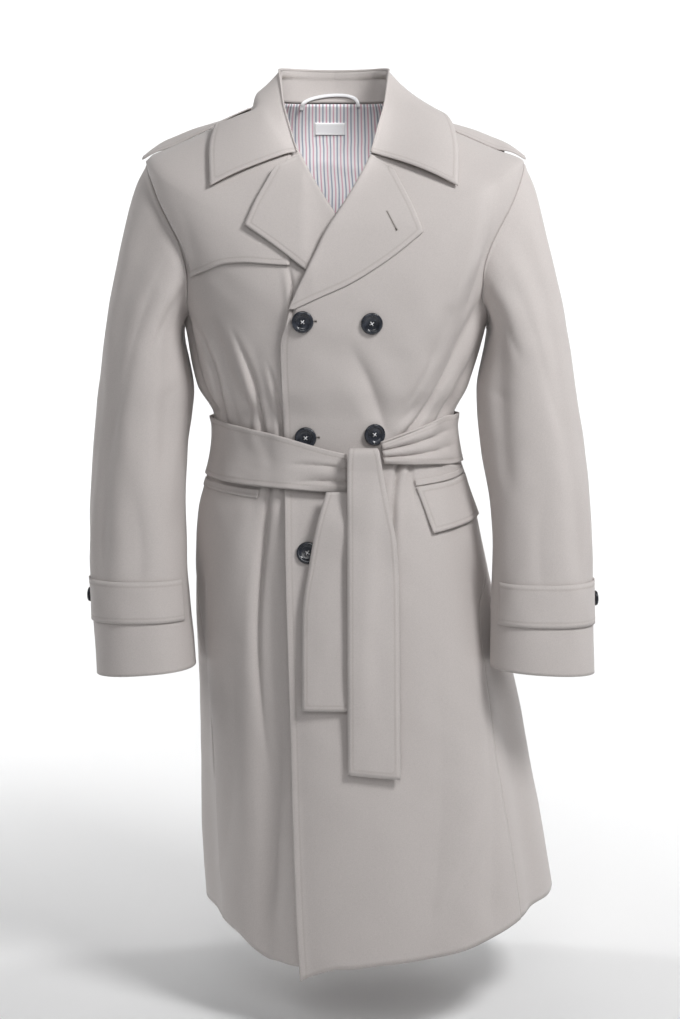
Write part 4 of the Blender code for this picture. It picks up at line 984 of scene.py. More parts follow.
def object_map(tree):
    return add_node(tree, "TexCoord", {})["Object"]


def mapped(tree, vector, **inputs):
    return add_node(tree, "Mapping", {"Vector": vector, **inputs})["Vector"]


def weave_map(tree, turn=0):
    uv = add_node(tree, "UVMap", {}, uv_map="weave")["UV"]
    return mapped(tree, uv, Rotation=(0, 0, math.radians(turn)))


def noise(tree, scale, detail=2.0, vector=None):
    vector = vector or object_map(tree)
    return add_node(tree, "TexNoise", {"Vector": vector, "Scale": scale, "Detail": detail})["Fac"]


def bands(tree, turn, pitch, distortion):
    """A sine wave across the cloth, turned by some degrees, with a pitch in metres."""
    inputs = {"Vector": weave_map(tree, turn), "Scale": math.tau / 20 / pitch, "Distortion": distortion}
    return add_node(tree, "TexWave", inputs, wave_type="BANDS")["Fac"]


def bumps(tree, *layers):
    """The normal left by layers of (height, distance, strength), each on top of the last."""
    normal = None
    for height, distance, strength in layers:
        inputs = {"Height": height, "Distance": distance, "Strength": strength}
        if normal:
            inputs["Normal"] = normal
        normal = add_node(tree, "Bump", inputs)["Normal"]
    return normal


def ramp(tree, factor, stops):
    made = add_node(tree, "ValToRGB", {"Fac": factor})["Color"]
    elements = made.node.color_ramp.elements
    while len(elements) < len(stops):
        elements.new(0.5)
    for element, (place, colour) in zip(elements, stops):
        element.position = place
        element.color = colour
    return made


def mixed(tree, factor, a, b, blend="MIX"):
    made = tree.nodes.new("ShaderNodeMix")
    made.data_type = "RGBA"
    made.blend_type = blend
    colours = [i for i, socket in enumerate(made.inputs) if socket.type == "RGBA"]
    set_inputs(made, {0: factor, colours[0]: a, colours[1]: b})
    return next(socket for socket in made.outputs if socket.type == "RGBA")


def grey(value):
    return (value, value, value, 1.0)


def shaded(tree, colour, factor, low, high=grey(1.0), first=0.0, last=1.0):
    """The colour multiplied by a ramp from one shade to another."""
    return mixed(tree, 1.0, colour, ramp(tree, factor, ((first, low), (last, high))), "MULTIPLY")


def gabardine(tree):
    """Cotton twill: fine diagonal lines, a melange grain, soft sheen and a groove along topstitching, with
    painted shade in the groove.
    """
    twill = bands(tree, 63, 0.0007, 0.6)
    grain = noise(tree, 900.0, 3.0)
    edge = attribute(tree, "edge")
    off = math_node(tree, "ABSOLUTE", math_node(tree, "SUBTRACT", edge, attribute(tree, "inset")))
    groove = map_range(tree, off, 0.0, 1.0, 0.0021, "SMOOTHSTEP")
    border = map_range(tree, edge, 1.0, 0.0, 0.0020, "SMOOTHSTEP")
    colour = mixed(tree, noise(tree, 9.0, 3.0), CLOTH_DARK, CLOTH_LIGHT)
    colour = shaded(tree, colour, grain, grey(0.93), grey(1.04), 0.30, 0.70)
    colour = shaded(tree, colour, twill, grey(0.965))
    # Painted shade darkens the cloth along the topstitching groove
    colour = shaded(tree, colour, groove, GROOVE_PAINTED_SHADE)
    return {
        "Base Color": mixed(tree, math_node(tree, "MULTIPLY", border, 0.06), colour, CLOTH_WORN),
        "Roughness": map_range(tree, grain, 0.72, 0.88),
        "Normal": bumps(
            tree, (twill, 0.00005, 0.6), (noise(tree, 42.0, 3.0), 0.0006, 0.35), (groove, 0.00017, 0.8)
        ),
        "Sheen Weight": 0.18,
        "Sheen Roughness": 0.45,
        "Specular IOR Level": 0.25,
    }


def shirting(tree):
    """Lining of fine white cotton with thin pink and grey stripes in turn."""
    across = add_node(tree, "SeparateXYZ", {0: weave_map(tree)})["X"]
    place = math_node(tree, "FRACT", math_node(tree, "MULTIPLY", across, 1 / STRIPE_PITCH))
    threads = bands(tree, 0, 0.0006, 0.5)
    return {
        "Base Color": shaded(tree, ramp(tree, place, SHIRTING_STOPS), threads, grey(0.94)),
        "Roughness": 0.75,
        "Sheen Weight": 0.1,
        "Normal": bumps(tree, (threads, 0.00004, 0.5), (noise(tree, 60.0), 0.0008, 0.4)),
    }


def white_cloth(tree):
    """Narrow woven ribbon, ribbed across."""
    ribs = bands(tree, 90, 0.0006, 0.3)
    return {
        "Base Color": shaded(tree, WHITE, ribs, RIB_SHADE),
        "Roughness": 0.6,
        "Sheen Weight": 0.2,
        "Normal": bumps(tree, (ribs, 0.00006, 0.6)),
    }


def thread(tree, tint):
    """Twisted sewing thread."""
    fuzz = noise(tree, 2500.0)
    return {
        "Base Color": shaded(tree, tint, fuzz, grey(0.88), grey(1.0), 0.3, 0.7),
        "Roughness": 0.65,
        "Sheen Weight": 0.2,
        "Normal": bumps(tree, (fuzz, 0.00005, 0.5)),
    }


def button_horn(tree):
    """Polished dark horn with faint streaks."""
    streaks = noise(tree, 90.0, 5.0, mapped(tree, object_map(tree), Scale=(1.0, 4.0, 1.0)))
    return {
        "Base Color": ramp(tree, streaks, ((0.38, HORN), (0.72, HORN_LIGHT))),
        "Roughness": map_range(tree, noise(tree, 500.0), 0.16, 0.30),
        "IOR": 1.55,
        "Coat Weight": 0.3,
        "Coat Roughness": 0.12,
        "Normal": bumps(tree, (streaks, 0.0001, 0.2)),
    }


def uneven_tone(tree, scale, stops):
    """A dull surface between two shades."""
    return {"Base Color": ramp(tree, noise(tree, scale), stops), "Roughness": 0.9}


LOOKS = {
    "gabardine": make_material("gabardine", gabardine),
    "shirting": make_material("shirting", shirting),
    "white_cloth": make_material("white_cloth", white_cloth),
    "thread": make_material("thread", thread, THREAD_COLOUR),
    "thread_white": make_material("thread_white", thread, WHITE),
    "button_horn": make_material("button_horn", button_horn),
    "painted_shade_slit": make_material("buttonhole_painted_shade_slit", uneven_tone, 1500.0, ((0.3, SLIT_PAINTED_SHADE_DARK), (0.7, SLIT_PAINTED_SHADE_LIGHT))),
    "floor": make_material("floor", uneven_tone, 1.2, ((0.0, grey(0.88)), (1.0, grey(0.90)))),
}


# ---------------------------------------------------------------- laying pieces on each other


def each(find, *places):
    """The grid of what a function finds at each place of some grids."""
    return np.array([[find(*place) for place in zip(*row)] for row in zip(*places)])


def around(normal):
    """The directions sideways and up on the cloth, square to its normal."""
    side = Vector((0, 0, 1)).cross(normal).normalized()
    return side, normal.cross(side)


def proud(tree, point, normal, shifts, reach):
    """How far the cloth stands out along a normal, the most of what it does at some shifts from a point."""
    found = []
    for shift in shifts:
        hit = tree.ray_cast(point + shift + normal * reach, -normal, 2 * reach)[0]
        if hit is not None:
            found.append((hit - point).dot(normal))
    return max(found)


def calmed(values, rounds):
    """Values of a grid smoothed towards their neighbours."""
    for _ in range(rounds):
        wide = np.pad(values, 1, mode="edge")
        near = wide[:-2, 1:-1] + wide[2:, 1:-1] + wide[1:-1, :-2] + wide[1:-1, 2:]
        values = 0.5 * values + 0.125 * near
    return values


def laid_grid(tree, angle, height, offset, reach, rounds):
    """A grid that lies off the cloth by offset, at places on the form."""

    def rise(point, normal):
        point, normal = Vector(point), Vector(normal)
        side, up = around(normal)
        shifts = [way * reach for way in (Vector(), side, -side, up, -up)]
        return proud(tree, point, normal, shifts, LAY_RANGE)

    height = hung(angle, height)
    points = form(angle, height)
    normals = form_normal(angle, height)
    return points + normals * (calmed(each(rise, points, normals), rounds) + offset)[..., None]


def forward_y(tree, x, z, reach, reach_z):
    """The foremost y of the cloth near a place in front view."""
    found = []
    for across in (-1.0, 0.0, 1.0):
        for along in (-1.0, -0.5, -0.15, 0.0, 0.15, 0.5, 1.0):
            start = Vector((x + across * reach, -1.0, z + along * reach_z))
            hit = tree.ray_cast(start, BACKWARDS)[0]
            if hit is not None:
                found.append(hit.y)
    return min(found)


def bridged(y, rounds):
    """A grid's y smoothed as a stiff cloth would lie, never behind what it lies on."""
    under = y
    for _ in range(rounds):
        y = np.minimum(calmed(y, 1), under)
    return calmed(y, 2)


def front_hit(tree, x, z):
    """The place and the outward normal of the cloth in front view."""
    place, normal, _, _ = tree.ray_cast(Vector((x, -1.0, z)), BACKWARDS)
    return place, normal if normal.y < 0 else -normal


def seated(tree, place, normal, radius, under):
    """Where a button's base stands clear of the cloth all round."""
    side, up = around(normal)
    turns = [math.tau * i / 12 for i in range(12)]
    shifts = [(side * math.cos(turn) + up * math.sin(turn)) * radius for turn in turns]
    lift = max(0.0, proud(tree, place, normal, shifts, SEAT_RANGE))
    return place + normal * (lift + under + 0.5 * LAY_GAP)


def pulled_in(grid, first, last):
    """The grid with its first and last columns moved inwards, so that a seam's gap stays open."""
    grid = grid.copy()
    grid[:, 0] += unit(grid[:, 1] - grid[:, 0]) * first
    grid[:, -1] += unit(grid[:, -2] - grid[:, -1]) * last
    return grid


def tucked(grid, first, last):
    """The grid with a sewn edge turned inwards, so that a seam reads as a closed groove."""
    turned = grid - grid_normals(grid) * SEAM_TUCK
    return np.concatenate([turned[:, :1]] * first + [grid] + [turned[:, -1:]] * last, 1)


def rolled(grid, radius, facing=None, steps=5):
    """The grid with its last column rolled over to its inner side in a half circle."""
    normals = grid_normals(grid)
    if facing is not None:
        normals = normals * np.sign((normals * facing).sum(-1).mean())
    edge = grid[:, -1]
    onwards = unit(edge - grid[:, -3])
    normal = normals[:, -2]
    radius = np.broadcast_to(radius, edge.shape[:1])[:, None]
    turns = [math.pi * k / steps for k in range(1, steps + 1)]
    added = [edge + radius * (onwards * math.sin(t) - normal * (1 - math.cos(t))) for t in turns]
    return np.concatenate([grid, np.stack(added, 1)], 1)


def faced(grid, facing):
    """The grid with its columns in the order that makes it face a direction."""
    return grid if (grid_normals(grid) * facing).sum(-1).mean() >= 0 else grid[:, ::-1]


# ---------------------------------------------------------------- the body


def front_grid(sign):
    height = ROWS[:, None]
    inner = angle_at_edge(height, EDGE["left_x" if sign > 0 else "right_x"])
    along = np.arange(FRONT_COLUMNS + 1)[None] / FRONT_COLUMNS
    share = along * (0.65 + 0.35 * along)
    angle = mix(inner, front_outer(height, sign), share)
    if sign < 0:
        return pulled_in(cloth(angle, height)[:, ::-1], SEAM_GAP / 2, 0.0)
    turned = smooth_step((LIFT_START_ANGLE - angle) / (LIFT_START_ANGLE - LIFT_FULL_ANGLE))
    raised = EDGE_RAISED * hump(share / EDGE_RAISED_SHARE)
    raised = raised * smooth_step((EDGE_RAISED_FROM - height) / EDGE_RAISED_FADE)
    grid = cloth(angle, height, LEFT_FRONT_LIFT(height) * turned + raised)
    corner = np.maximum(0.0, 1 - share / CORNER_SHARE)
    grid[..., 2] -= CORNER_DROOP * corner**CORNER_CURVE * skirt_share(height) ** 3
    return pulled_in(grid, 0.0, SEAM_GAP / 2)


def back_angle(height, share):
    """Angles of the back at shares of its width, from its left edge to its right one."""
    out = 180 - armhole_angle(height)
    first = np.where(height > ARMPIT, out, side_seam(height, 1))
    last = 360 - np.where(height > ARMPIT, out, side_seam(height, -1))
    return mix(first, last, share[None])


def back_grid():
    height = ROWS[:, None]
    grid = cloth(back_angle(height, np.linspace(0, 1, BACK_COLUMNS + 1)), height)
    return pulled_in(grid, SEAM_GAP / 2, SEAM_GAP / 2)


def lining_grid():
    height = ROWS[ROWS >= LINING_LOW][:, None]
    inwards = -(WALL / 2 + LINING_GAP + LINING_WALL / 2)
    grid = cloth(back_angle(height, np.linspace(*LINING_SIDES, LINING_COLUMNS)), height, inwards)
    pleat = hump((grid[..., 0] - LINING_PLEAT_X) / LINING_PLEAT_WIDTH)
    pleat = pleat * smooth_step((LINING_PLEAT_TOP - grid[..., 2]) / LINING_PLEAT_FADE)
    grid[..., 1] -= LINING_PLEAT * pleat
    return grid


def armhole_loop(sign):
    """The armhole's seam: outer top, down its front to the armpit and up its back."""
    rows = ROWS[(ROWS > ARMPIT - 1e-6) & (ROWS < SHOULDER + 1e-6)]
    front = cloth(sign * armhole_angle(rows), rows)
    back = cloth(sign * (180 - armhole_angle(rows)), rows)
    return np.concatenate([front[::-1], back[1:-1]])


# ---------------------------------------------------------------- sleeves and cuffs


def sleeve_ring(curves, place, angle):
    """Points of a sleeve's smooth form, at places along it and angles round it."""
    s = read(curves, place)
    turn = np.radians(angle)
    power = 2 / s["squareness"]
    across = signed_power(np.cos(turn), power)
    x = mix(s["in_x"], s["out_x"], (1 + across) / 2)
    z = mix(s["in_z"], s["out_z"], (1 + across) / 2)
    return stack(x, s["middle_y"] - s["half_depth"] * signed_power(np.sin(turn), power), z)


def sleeve_middle(curves, place):
    s = read(curves, place)
    return stack((s["in_x"] + s["out_x"]) / 2, s["middle_y"], (s["in_z"] + s["out_z"]) / 2)


def sleeve_point(curves, place, angle, lift, seed):
    """Points of a sleeve's cloth with its folds and creases."""
    place, angle = np.broadcast_arrays(np.asarray(place, float), np.asarray(angle, float))
    point = sleeve_ring(curves, place, angle)
    z = point[..., 2]
    turn = np.radians(angle)
    inwards = fold_depth(angle, z, SLEEVE_FOLDS, FOLD_FADE)
    inwards = inwards + crease_depth((angle % 360) / 1000, z, SLEEVE_CREASES)
    uneven = ripple(SLEEVE_ROUND * np.sin(turn), z, seed) + ripple(SLEEVE_ROUND * np.cos(turn), z, seed + 1)
    uneven = uneven * smooth_step((z - SLEEVE_CALM_LOW) / SLEEVE_CALM_FADE)
    out = unit(point - sleeve_middle(curves, place))
    return point + out * np.asarray(lift - inwards - uneven)[..., None]


def sleeve_grid(curves, last_row, sign, seed):
    """A sleeve from its armhole's seam to its cuff, with a small roll over the seam."""
    loop = armhole_loop(sign)
    angle = 360 * np.arange(len(loop)) / len(loop)
    share = np.arange(SLEEVE_RINGS + 1)[:, None] / SLEEVE_RINGS
    place = last_row * share**SLEEVE_RING_SPREAD
    keep = (1 - smooth_step(place / SLEEVE_BLEND_RINGS))[..., None]
    seam_out = loop + np.array((sign * SLEEVE_HEAD_SHOWN, 0, 0))
    start = sleeve_ring(curves, np.zeros(len(loop)), angle)
    grid = sleeve_point(curves, place, angle[None], 0.0, seed) + (seam_out - start)[None] * keep
    roll = SLEEVE_ROLL * hump((share - SLEEVE_ROLL_PLACE) / SLEEVE_ROLL_WIDTH) * smooth_step(share / 0.012)
    out = unit(grid - sleeve_middle(curves, place))
    grid = grid + out * roll[..., None]
    inside = grid[:1] - out[:1] * SLEEVE_HEAD_INSIDE - np.array((sign * SLEEVE_HEAD_IN, 0, 0))
    grid = np.concatenate([inside, grid])[::-1]
    return grid[:, ::-1] if sign > 0 else grid


def add_sleeve(side, rows, sign):
    curves = table_curves(rows, SLEEVE_COLUMNS)
    last = len(rows) - 1
    seed = SLEEVE_SEEDS[side]
    grid = sleeve_grid(curves, last, sign, seed)
    add_cloth("sleeve_" + side, grid, WALL, ["back", "front_" + side], closed=True)
    z = np.linspace(CUFF_STRAP_LOW, CUFF_STRAP_TOP, CUFF_STRAP_ROWS)
    places = bisected(0.0, float(last), lambda place: sleeve_middle(curves, place)[..., 2] > z)
    middle = places[CUFF_STRAP_ROWS // 2]
    lift = LAY + CUFF_STRAP_LIFT
    angles = np.linspace(CUFF_STRAP_START, CUFF_STRAP_END, CUFF_STRAP_COLUMNS)
    strap = sleeve_point(curves, places[:, None], angles[None], lift, seed)
    edges = [strap[0], strap[-1], strap[:, -1]]
    out = strap[CUFF_STRAP_ROWS // 2, CUFF_STRAP_COLUMNS // 2] - sleeve_middle(curves, middle)
    add_cloth("cuff_strap_" + side, faced(strap, out), FLAP_WALL, ["sleeve_" + side], edges)
    spot = sleeve_point(curves, middle, CUFF_BUTTON_ANGLE, lift, seed)
    away = Vector(unit(spot - sleeve_middle(curves, middle)))
    place = seated(grid_tree(strap), Vector(spot), away, SMALL_BUTTON_RADIUS, FLAP_WALL / 2)
    add_button("cuff_button_" + side, "small", place, away)


# ---------------------------------------------------------------- lapels, flaps and collar


def add_lapel(side, rows, tree, roll_low):
    """A lapel turned out along its roll line, laid on its front, with its roll curved under."""
    smooth = table_curves(rows, LAPEL_COLUMNS)
    upper = table_curves(rows[: LAPEL_CORNER + 1], LAPEL_COLUMNS)
    lower = table_curves(rows[LAPEL_CORNER:], LAPEL_COLUMNS)
    t = ((len(rows) - 1) * np.arange(LAPEL_ROWS + 1) / LAPEL_ROWS)[:, None]
    share = (1 - np.arange(LAPEL_OUT + 1) / LAPEL_OUT)[None]

    def across(roll, edge):
        sharp = np.where(t < LAPEL_CORNER, upper[edge](t), lower[edge](t - LAPEL_CORNER))
        return mix(smooth[roll](t), sharp, share)

    x = across("roll_x", "edge_x")
    z = across("roll_z", "edge_z")
    raised = LAPEL_ROLL_LIFT * (1 - share) ** 3 * smooth_step((z - roll_low) / LAPEL_ROLL_FADE)
    reach_z = np.where(x < LAPEL_BREAK_X, LAPEL_REACH_UP_BREAK, LAPEL_REACH_UP)
    y = each(lambda a, b, up: forward_y(tree, a, b, LAPEL_REACH, float(up)), x, z, reach_z)
    grid = stack(x, bridged(y, 40) - LAY - raised, z)
    whole = faced(rolled(grid, (LAY + raised[:, -1]) / 2, FORWARDS), FORWARDS)
    add_cloth("lapel_" + side, whole, FLAP_WALL, ["front_" + side], [grid[:, 0]])
    return grid


def storm_flap_grid(tree):
    share = np.linspace(0, 1, STORM_COLUMNS)[None]
    bottom = curve_through(*zip(*STORM_EDGE))(share)
    low = mix(bottom, SHOULDER, np.arange(STORM_LOW_ROWS)[:, None] / STORM_LOW_ROWS)
    high = np.linspace(SHOULDER, STORM_TOP, STORM_HIGH_ROWS)[:, None] + 0 * share
    height = np.concatenate([low, high])
    inner = angle_at_edge(height, lambda z: STORM_INNER_X)
    angle = mix(front_outer(height, -1), inner, mix(STORM_TRIM, 1.0, share))
    return laid_grid(tree, angle, height, LAY + STORM_LIFT, STORM_REACH, 5)


def collar_rows(share):
    """The collar's roll, edge, angle and bulge at shares of its length, from the left front end round."""
    side = np.where(share < 0.5, 1.0, -1.0)
    v = read(table_curves(COLLAR, COLLAR_COLUMNS), (len(COLLAR) - 1) * (1 - np.abs(2 * share - 1)))
    roll = stack(side * v["roll_x"], v["roll_y"], v["roll_z"])
    edge = stack(side * v["edge_x"], v["edge_y"], v["edge_z"])
    return roll, edge, np.where(side > 0, v["neck_angle"], 360 - v["neck_angle"]), v["bulge"]


def collar_fall_grid(tree, clearance):
    """The collar's outer leaf, pushed off what lies below it."""

    def push(point):
        point = Vector(point)
        place, normal, _, _ = tree.find_nearest(point)
        return normal * max(0.0, clearance - (point - place).dot(normal))

    roll, edge, _, bulge = collar_rows(np.arange(COLLAR_STEPS + 1) / COLLAR_STEPS)
    away = unit(stack(roll[:, 0], roll[:, 1] - COLLAR_MIDDLE_Y, 0.0)) + np.array((0, 0, 0.6))
    t = np.linspace(1, 0, FALL_ROWS + 1)[:, None, None]
    grid = mix(roll[None], edge[None], t) + away[None] * bulge[None, :, None] * 4 * t * (1 - t)
    pushed = each(push, grid)
    return grid + np.stack([calmed(pushed[..., axis], 4) for axis in range(3)], -1)


def collar_stand_grid():
    roll, _, angle, _ = collar_rows(np.linspace(*STAND_ENDS, STAND_COLUMNS))
    base = form(angle, NECK)
    inwards = unit(stack(-base[:, 0], COLLAR_MIDDLE_Y - base[:, 1], 0.0))
    low = base + inwards * STAND_INSET + np.array((0, 0, STAND_RAISED))
    top = roll + inwards * STAND_TOP_INSET - np.array((0, 0, STAND_TOP_LOWERED))
    return mix(low[None], top[None], np.linspace(0, 1, STAND_ROWS)[:, None, None])


def add_collar(tree):
    """The collar's fall and stand, and the close slanting stitches along the stand."""
    fall = collar_fall_grid(tree, LAY + COLLAR_STAND_OFF)
    whole = rolled(fall.transpose(1, 0, 2), COLLAR_ROLL).transpose(1, 0, 2)
    edges = [fall[0], fall[:, 0], fall[:, -1]]
    add_cloth("collar_fall", whole, FLAP_WALL, ["collar_stand"], edges)
    stand = collar_stand_grid()
    add_cloth("collar_stand", stand, FLAP_WALL, ["back"])
    line = [values[STAND_STITCH_ROW, 4:-4] for values in (stand, -grid_normals(stand))]
    add_stitches("stand", [line], FLAP_WALL / 2 + THREAD, **STAND_STITCHES)
    return stand


def add_flap(name, corners, tree, rows, sunk=0.0, stand_off=0.0, sides=()):
    """A pocket's flap or welt between four places on the form."""
    upper_first, upper_last, lower_last, lower_first = np.array(corners)
    v = np.linspace(0, 1, rows + 1)[:, None, None]
    u = np.linspace(0, 1, FLAP_COLUMNS + 1)[None, :, None]
    places = mix(mix(lower_first, lower_last, u), mix(upper_first, upper_last, u), v)
    angle, height = places[..., 0], places[..., 1]
    grid = laid_grid(tree, angle, height, LAY - sunk, FLAP_REACH, 4)
    grid = grid + form_normal(angle, height) * stand_off * (1 - v) ** 2
    add_cloth(name, grid, FLAP_WALL, ["front_left"], [borders(grid)[side] for side in sides])


# ---------------------------------------------------------------- epaulettes


def epaulette_grid(sign, tree):
    """A shoulder strap: raised in its middle, its front edge hanging down to the shoulder."""
    curves = table_curves(EPAULETTE, EPAULETTE_COLUMNS, "x")
    x = np.linspace(EPAULETTE[0][0], EPAULETTE[-1][0], EPAULETTE_STEPS + 1)
    across = np.linspace(-1, 1, EPAULETTE_ROWS + 1)[:, None]
    y = float(SECTION["side_y"](EPAULETTE_MIDDLE_HEIGHT)) + curves["half_width"](x)[None] * across
    rise = curves["rise"](x)[None]

    def shoulder(x, y):
        found = []
        for near in (-EPAULETTE_REACH, 0.0, EPAULETTE_REACH):
            hit = tree.ray_cast(Vector((sign * min(x, SHOULDER_END_X), y + near, 1.0)), DOWNWARDS)[0]
            if hit is not None:
                found.append(hit.z)
        return max(found) - max(x - SHOULDER_END_X, 0.0) * SHOULDER_END_SLOPE

    base = each(shoulder, np.broadcast_to(x, y.shape), y)
    open_end = 1 - HANG_LESS * smooth_step((x - HANG_LESS_FROM) / HANG_LESS_FADE)[None]
    hang = HANG_SHARE * rise + HANG_MORE * smooth_step((x - HANG_FROM) / HANG_FADE)[None]
    hang = hang * open_end * np.maximum(0.0, -across) ** HANG_CURVE
    lift = LAY + (STORM_LIFT if sign < 0 else 0.0)
    return stack(sign * x, y, calmed(base, 4) + rise - hang + lift)


def add_epaulette(side, sign, tree):
    strap = epaulette_grid(sign, tree)
    edges = [strap[0], strap[-1], strap[:, -1]]
    add_cloth("epaulette_" + side, faced(strap, UPWARDS), FLAP_WALL, ["front_" + side], edges)
    above = Vector((sign * EPAULETTE_BUTTON_X, EPAULETTE_BUTTON_Y, 1.0))
    place, normal, _, _ = tree.ray_cast(above, DOWNWARDS)
    place = seated(tree, place, normal, SMALL_BUTTON_RADIUS, WALL / 2)
    add_button("epaulette_button_" + side, "small", place, normal)
    return strap


# ---------------------------------------------------------------- belt


def pleats(turns):
    """Rounded ridges with sharp valleys between them."""
    return 1.5 * np.abs(np.cos(math.pi * turns)) ** 0.6 - 1.0


def belt_grid(tree):
    """The belt round the waist, with gathers that run into the knot from both sides."""
    curves = table_curves(BELT_BAND, BELT_COLUMNS, "angle")
    first, last = BELT_BAND[0][0], BELT_BAND[-1][0]
    v = np.linspace(0, 1, BAND_ROWS)[:, None]
    angle = np.linspace(last, first, BAND_COLUMNS)[None] + 0 * v
    height = mix(curves["low_z"](angle), curves["top_z"](angle), v)
    grid = laid_grid(tree, angle, height, WALL / 2 + BELT_WALL / 2 + curves["stand"](angle), BAND_REACH, 8)
    near_left = smooth_step((angle + 22) / 24)
    near_right = smooth_step((last + 66 - angle) / 56)
    gather = near_right * pleats(3.1 * v + 0.30 + 0.30 * near_right) * GATHER_DEPTH
    pull = near_left * pleats(2.9 * v + 0.15 - 0.45 * near_left) * GATHER_DEPTH
    gather = gather + pull * (1 - smooth_step((v - 0.5) / 0.3))
    edge = smooth_step(v / BELT_EDGE) * smooth_step((1 - v) / BELT_EDGE)
    uneven = ripple(np.radians(angle) * BODY_ROUND, v * 0.05, BELT_SEED, 0.7)
    soft = BELT_SOFT * np.sin(math.pi * v) * np.sin(np.radians(angle) * 5 + 1)
    return grid + grid_normals(grid) * (gather * mix(GATHER_BY_EDGE, 1.0, edge) + uneven + soft)[..., None]


def add_belt_end(name, top, fall, tree, offset, reach, slant, seed):
    """A hanging end of the belt: its top rows as given, then lying on the skirt."""
    share = np.linspace(0, 1, END_COLUMNS)[None]
    head = [stack(mix(left, right, share[0]), y, z) for z, left, right, y in top]
    z = np.linspace(fall[0][0], fall[-1][0], END_ROWS)[:, None]
    c = read(table_curves(fall, BELT_END_COLUMNS, "z"), z)
    x = mix(c["left_x"], c["right_x"], share)
    lying = each(lambda a, b: forward_y(tree, a, b, reach, END_REACH_UP), x, z + 0 * x)
    y = calmed(np.minimum(lying - offset, c["y"]), 6)
    y = y - END_CROWN * np.sin(math.pi * share) * smooth_step((z[0] - z) / 0.05)
    z = z - smooth_step((z[0] - z) / (z[0] - z[-1])) * slant * share
    y = y - np.abs(ripple(x, z, seed, 0.9))
    grid = np.concatenate([np.reshape(head, (-1, END_COLUMNS, 3)), stack(x, y, z)])[::-1]
    edges = [grid[0], grid[:, 0], grid[:, -1]]
    add_cloth(name, grid, BELT_WALL, ["belt_knot", "front_left"], edges)
    return grid


def knot_turn(scale, shift, lean):
    """A turn of the belt's cloth round the crossing."""
    turn = np.linspace(0, math.tau, KNOT_COLUMNS + 1)[:-1][None]
    across = np.linspace(-0.5, 0.5, KNOT_ROWS)[:, None]
    pinch = 1 - 0.10 * np.cos(math.tau * across)
    high = KNOT_SIZE[2] / 2 * 0.97 * scale * pinch
    deep = KNOT_SIZE[1] / 2 * 0.93 * scale * pinch
    folds = KNOT_FOLDS * np.cos(math.tau * 3 * across + 0.8 * np.sin(turn))
    y = KNOT_MIDDLE[1] - deep * signed_power(np.cos(turn), KNOT_POWER) - folds * np.cos(turn)
    z = high * signed_power(np.sin(turn), KNOT_POWER) + folds * np.sin(turn)
    x = np.clip(KNOT_SIZE[0] * 0.94 * across + shift + lean * z, -KNOT_SIZE[0] / 2, KNOT_SIZE[0] / 2)
    return stack(KNOT_MIDDLE[0] + x, y, KNOT_MIDDLE[2] + z)


def add_knot():
    """Two turns of the belt's cloth, the inner one slightly smaller and askew."""
    grid = np.concatenate([knot_turn(0.86, 0.0030, 0.03)[::-1], knot_turn(1.0, 0.0, 0.0)])
    add_cloth("belt_knot", grid, KNOT_WALL, ["belt_band"], closed=True)


# ---------------------------------------------------------------- buttons and buttonholes


def turned(outline, steps):
    """A closed solid turned from an outline of radii and heights that starts and ends on the axis."""
    made = bmesh.new()
    turns = [math.tau * i / steps for i in range(steps)]
    rings = []
    for radius, z in outline:
        ring = turns if radius else (0,)
        rings.append([made.verts.new((radius * math.cos(t), radius * math.sin(t), z)) for t in ring])
    for a, b in zip(rings, rings[1:]):
        for i in range(steps):
            k = (i + 1) % steps
            corners = [a[i % len(a)], b[i % len(b)], b[k % len(b)], a[k % len(a)]]
            made.faces.new(list(dict.fromkeys(corners)))
    bmesh.ops.recalc_face_normals(made, faces=made.faces)
    return made


def object_from(name, made):
    mesh = bpy.data.meshes.new(name)
    made.to_mesh(mesh)
    made.free()
    return add_object(name, mesh)


def button_mesh(name, radius, height):
    """A turned button with a rounded rim, a sunk middle and four holes through it."""
    turns = [math.pi * (1 - k / 8) for k in range(9)]
    rim = [(0.82 + 0.14 * math.cos(t), 0.80 + 0.20 * math.sin(t)) for t in turns]
    back = [(1.0, 0.60), (1.0, 0.34), (0.88, 0.0), (0.0, 0.0)]
    outline = [(radius * r, height * z) for r, z in [(0.0, 0.52), (0.50, 0.50), (0.62, 0.58)] + rim + back]
    whole = object_from(name, turned(outline, BUTTON_SIDES))
    size = radius / BUTTON_RADIUS
    drills = bmesh.new()
    for k in range(BUTTON_HOLES):
        turn = math.tau * (k + 0.5) / BUTTON_HOLES
        way = Vector((math.cos(turn), math.sin(turn), 0.0)) * HOLE_RING * size
        bmesh.ops.create_cone(
            drills,
            cap_ends=True,
            segments=HOLE_SIDES,
            radius1=HOLE_RADIUS * size,
            radius2=HOLE_RADIUS * size,
            depth=height * 3,
            matrix=Matrix.Translation(way + Vector((0.0, 0.0, height / 2))),
        )
    drill = object_from(name + "_drill", drills)
    holes = whole.modifiers.new("holes", "BOOLEAN")
    holes.operation = "DIFFERENCE"
    holes.object = drill
    holes.solver = "EXACT"
    done = bpy.data.meshes.new_from_object(whole.evaluated_get(bpy.context.evaluated_depsgraph_get()))
    bpy.data.objects.remove(whole)
    bpy.data.objects.remove(drill)
    done.materials.clear()
    done.materials.append(LOOKS["button_horn"])
    done.shade_smooth()
    done.set_sharp_from_angle(angle=math.radians(40))
    return done


BUTTON_SIZES = {
    "large": (BUTTON_RADIUS, BUTTON_HEIGHT),
    "small": (SMALL_BUTTON_RADIUS, SMALL_BUTTON_HEIGHT),
}
BUTTON_MESHES = {size: button_mesh("button_" + size, *facts) for size, facts in BUTTON_SIZES.items()}


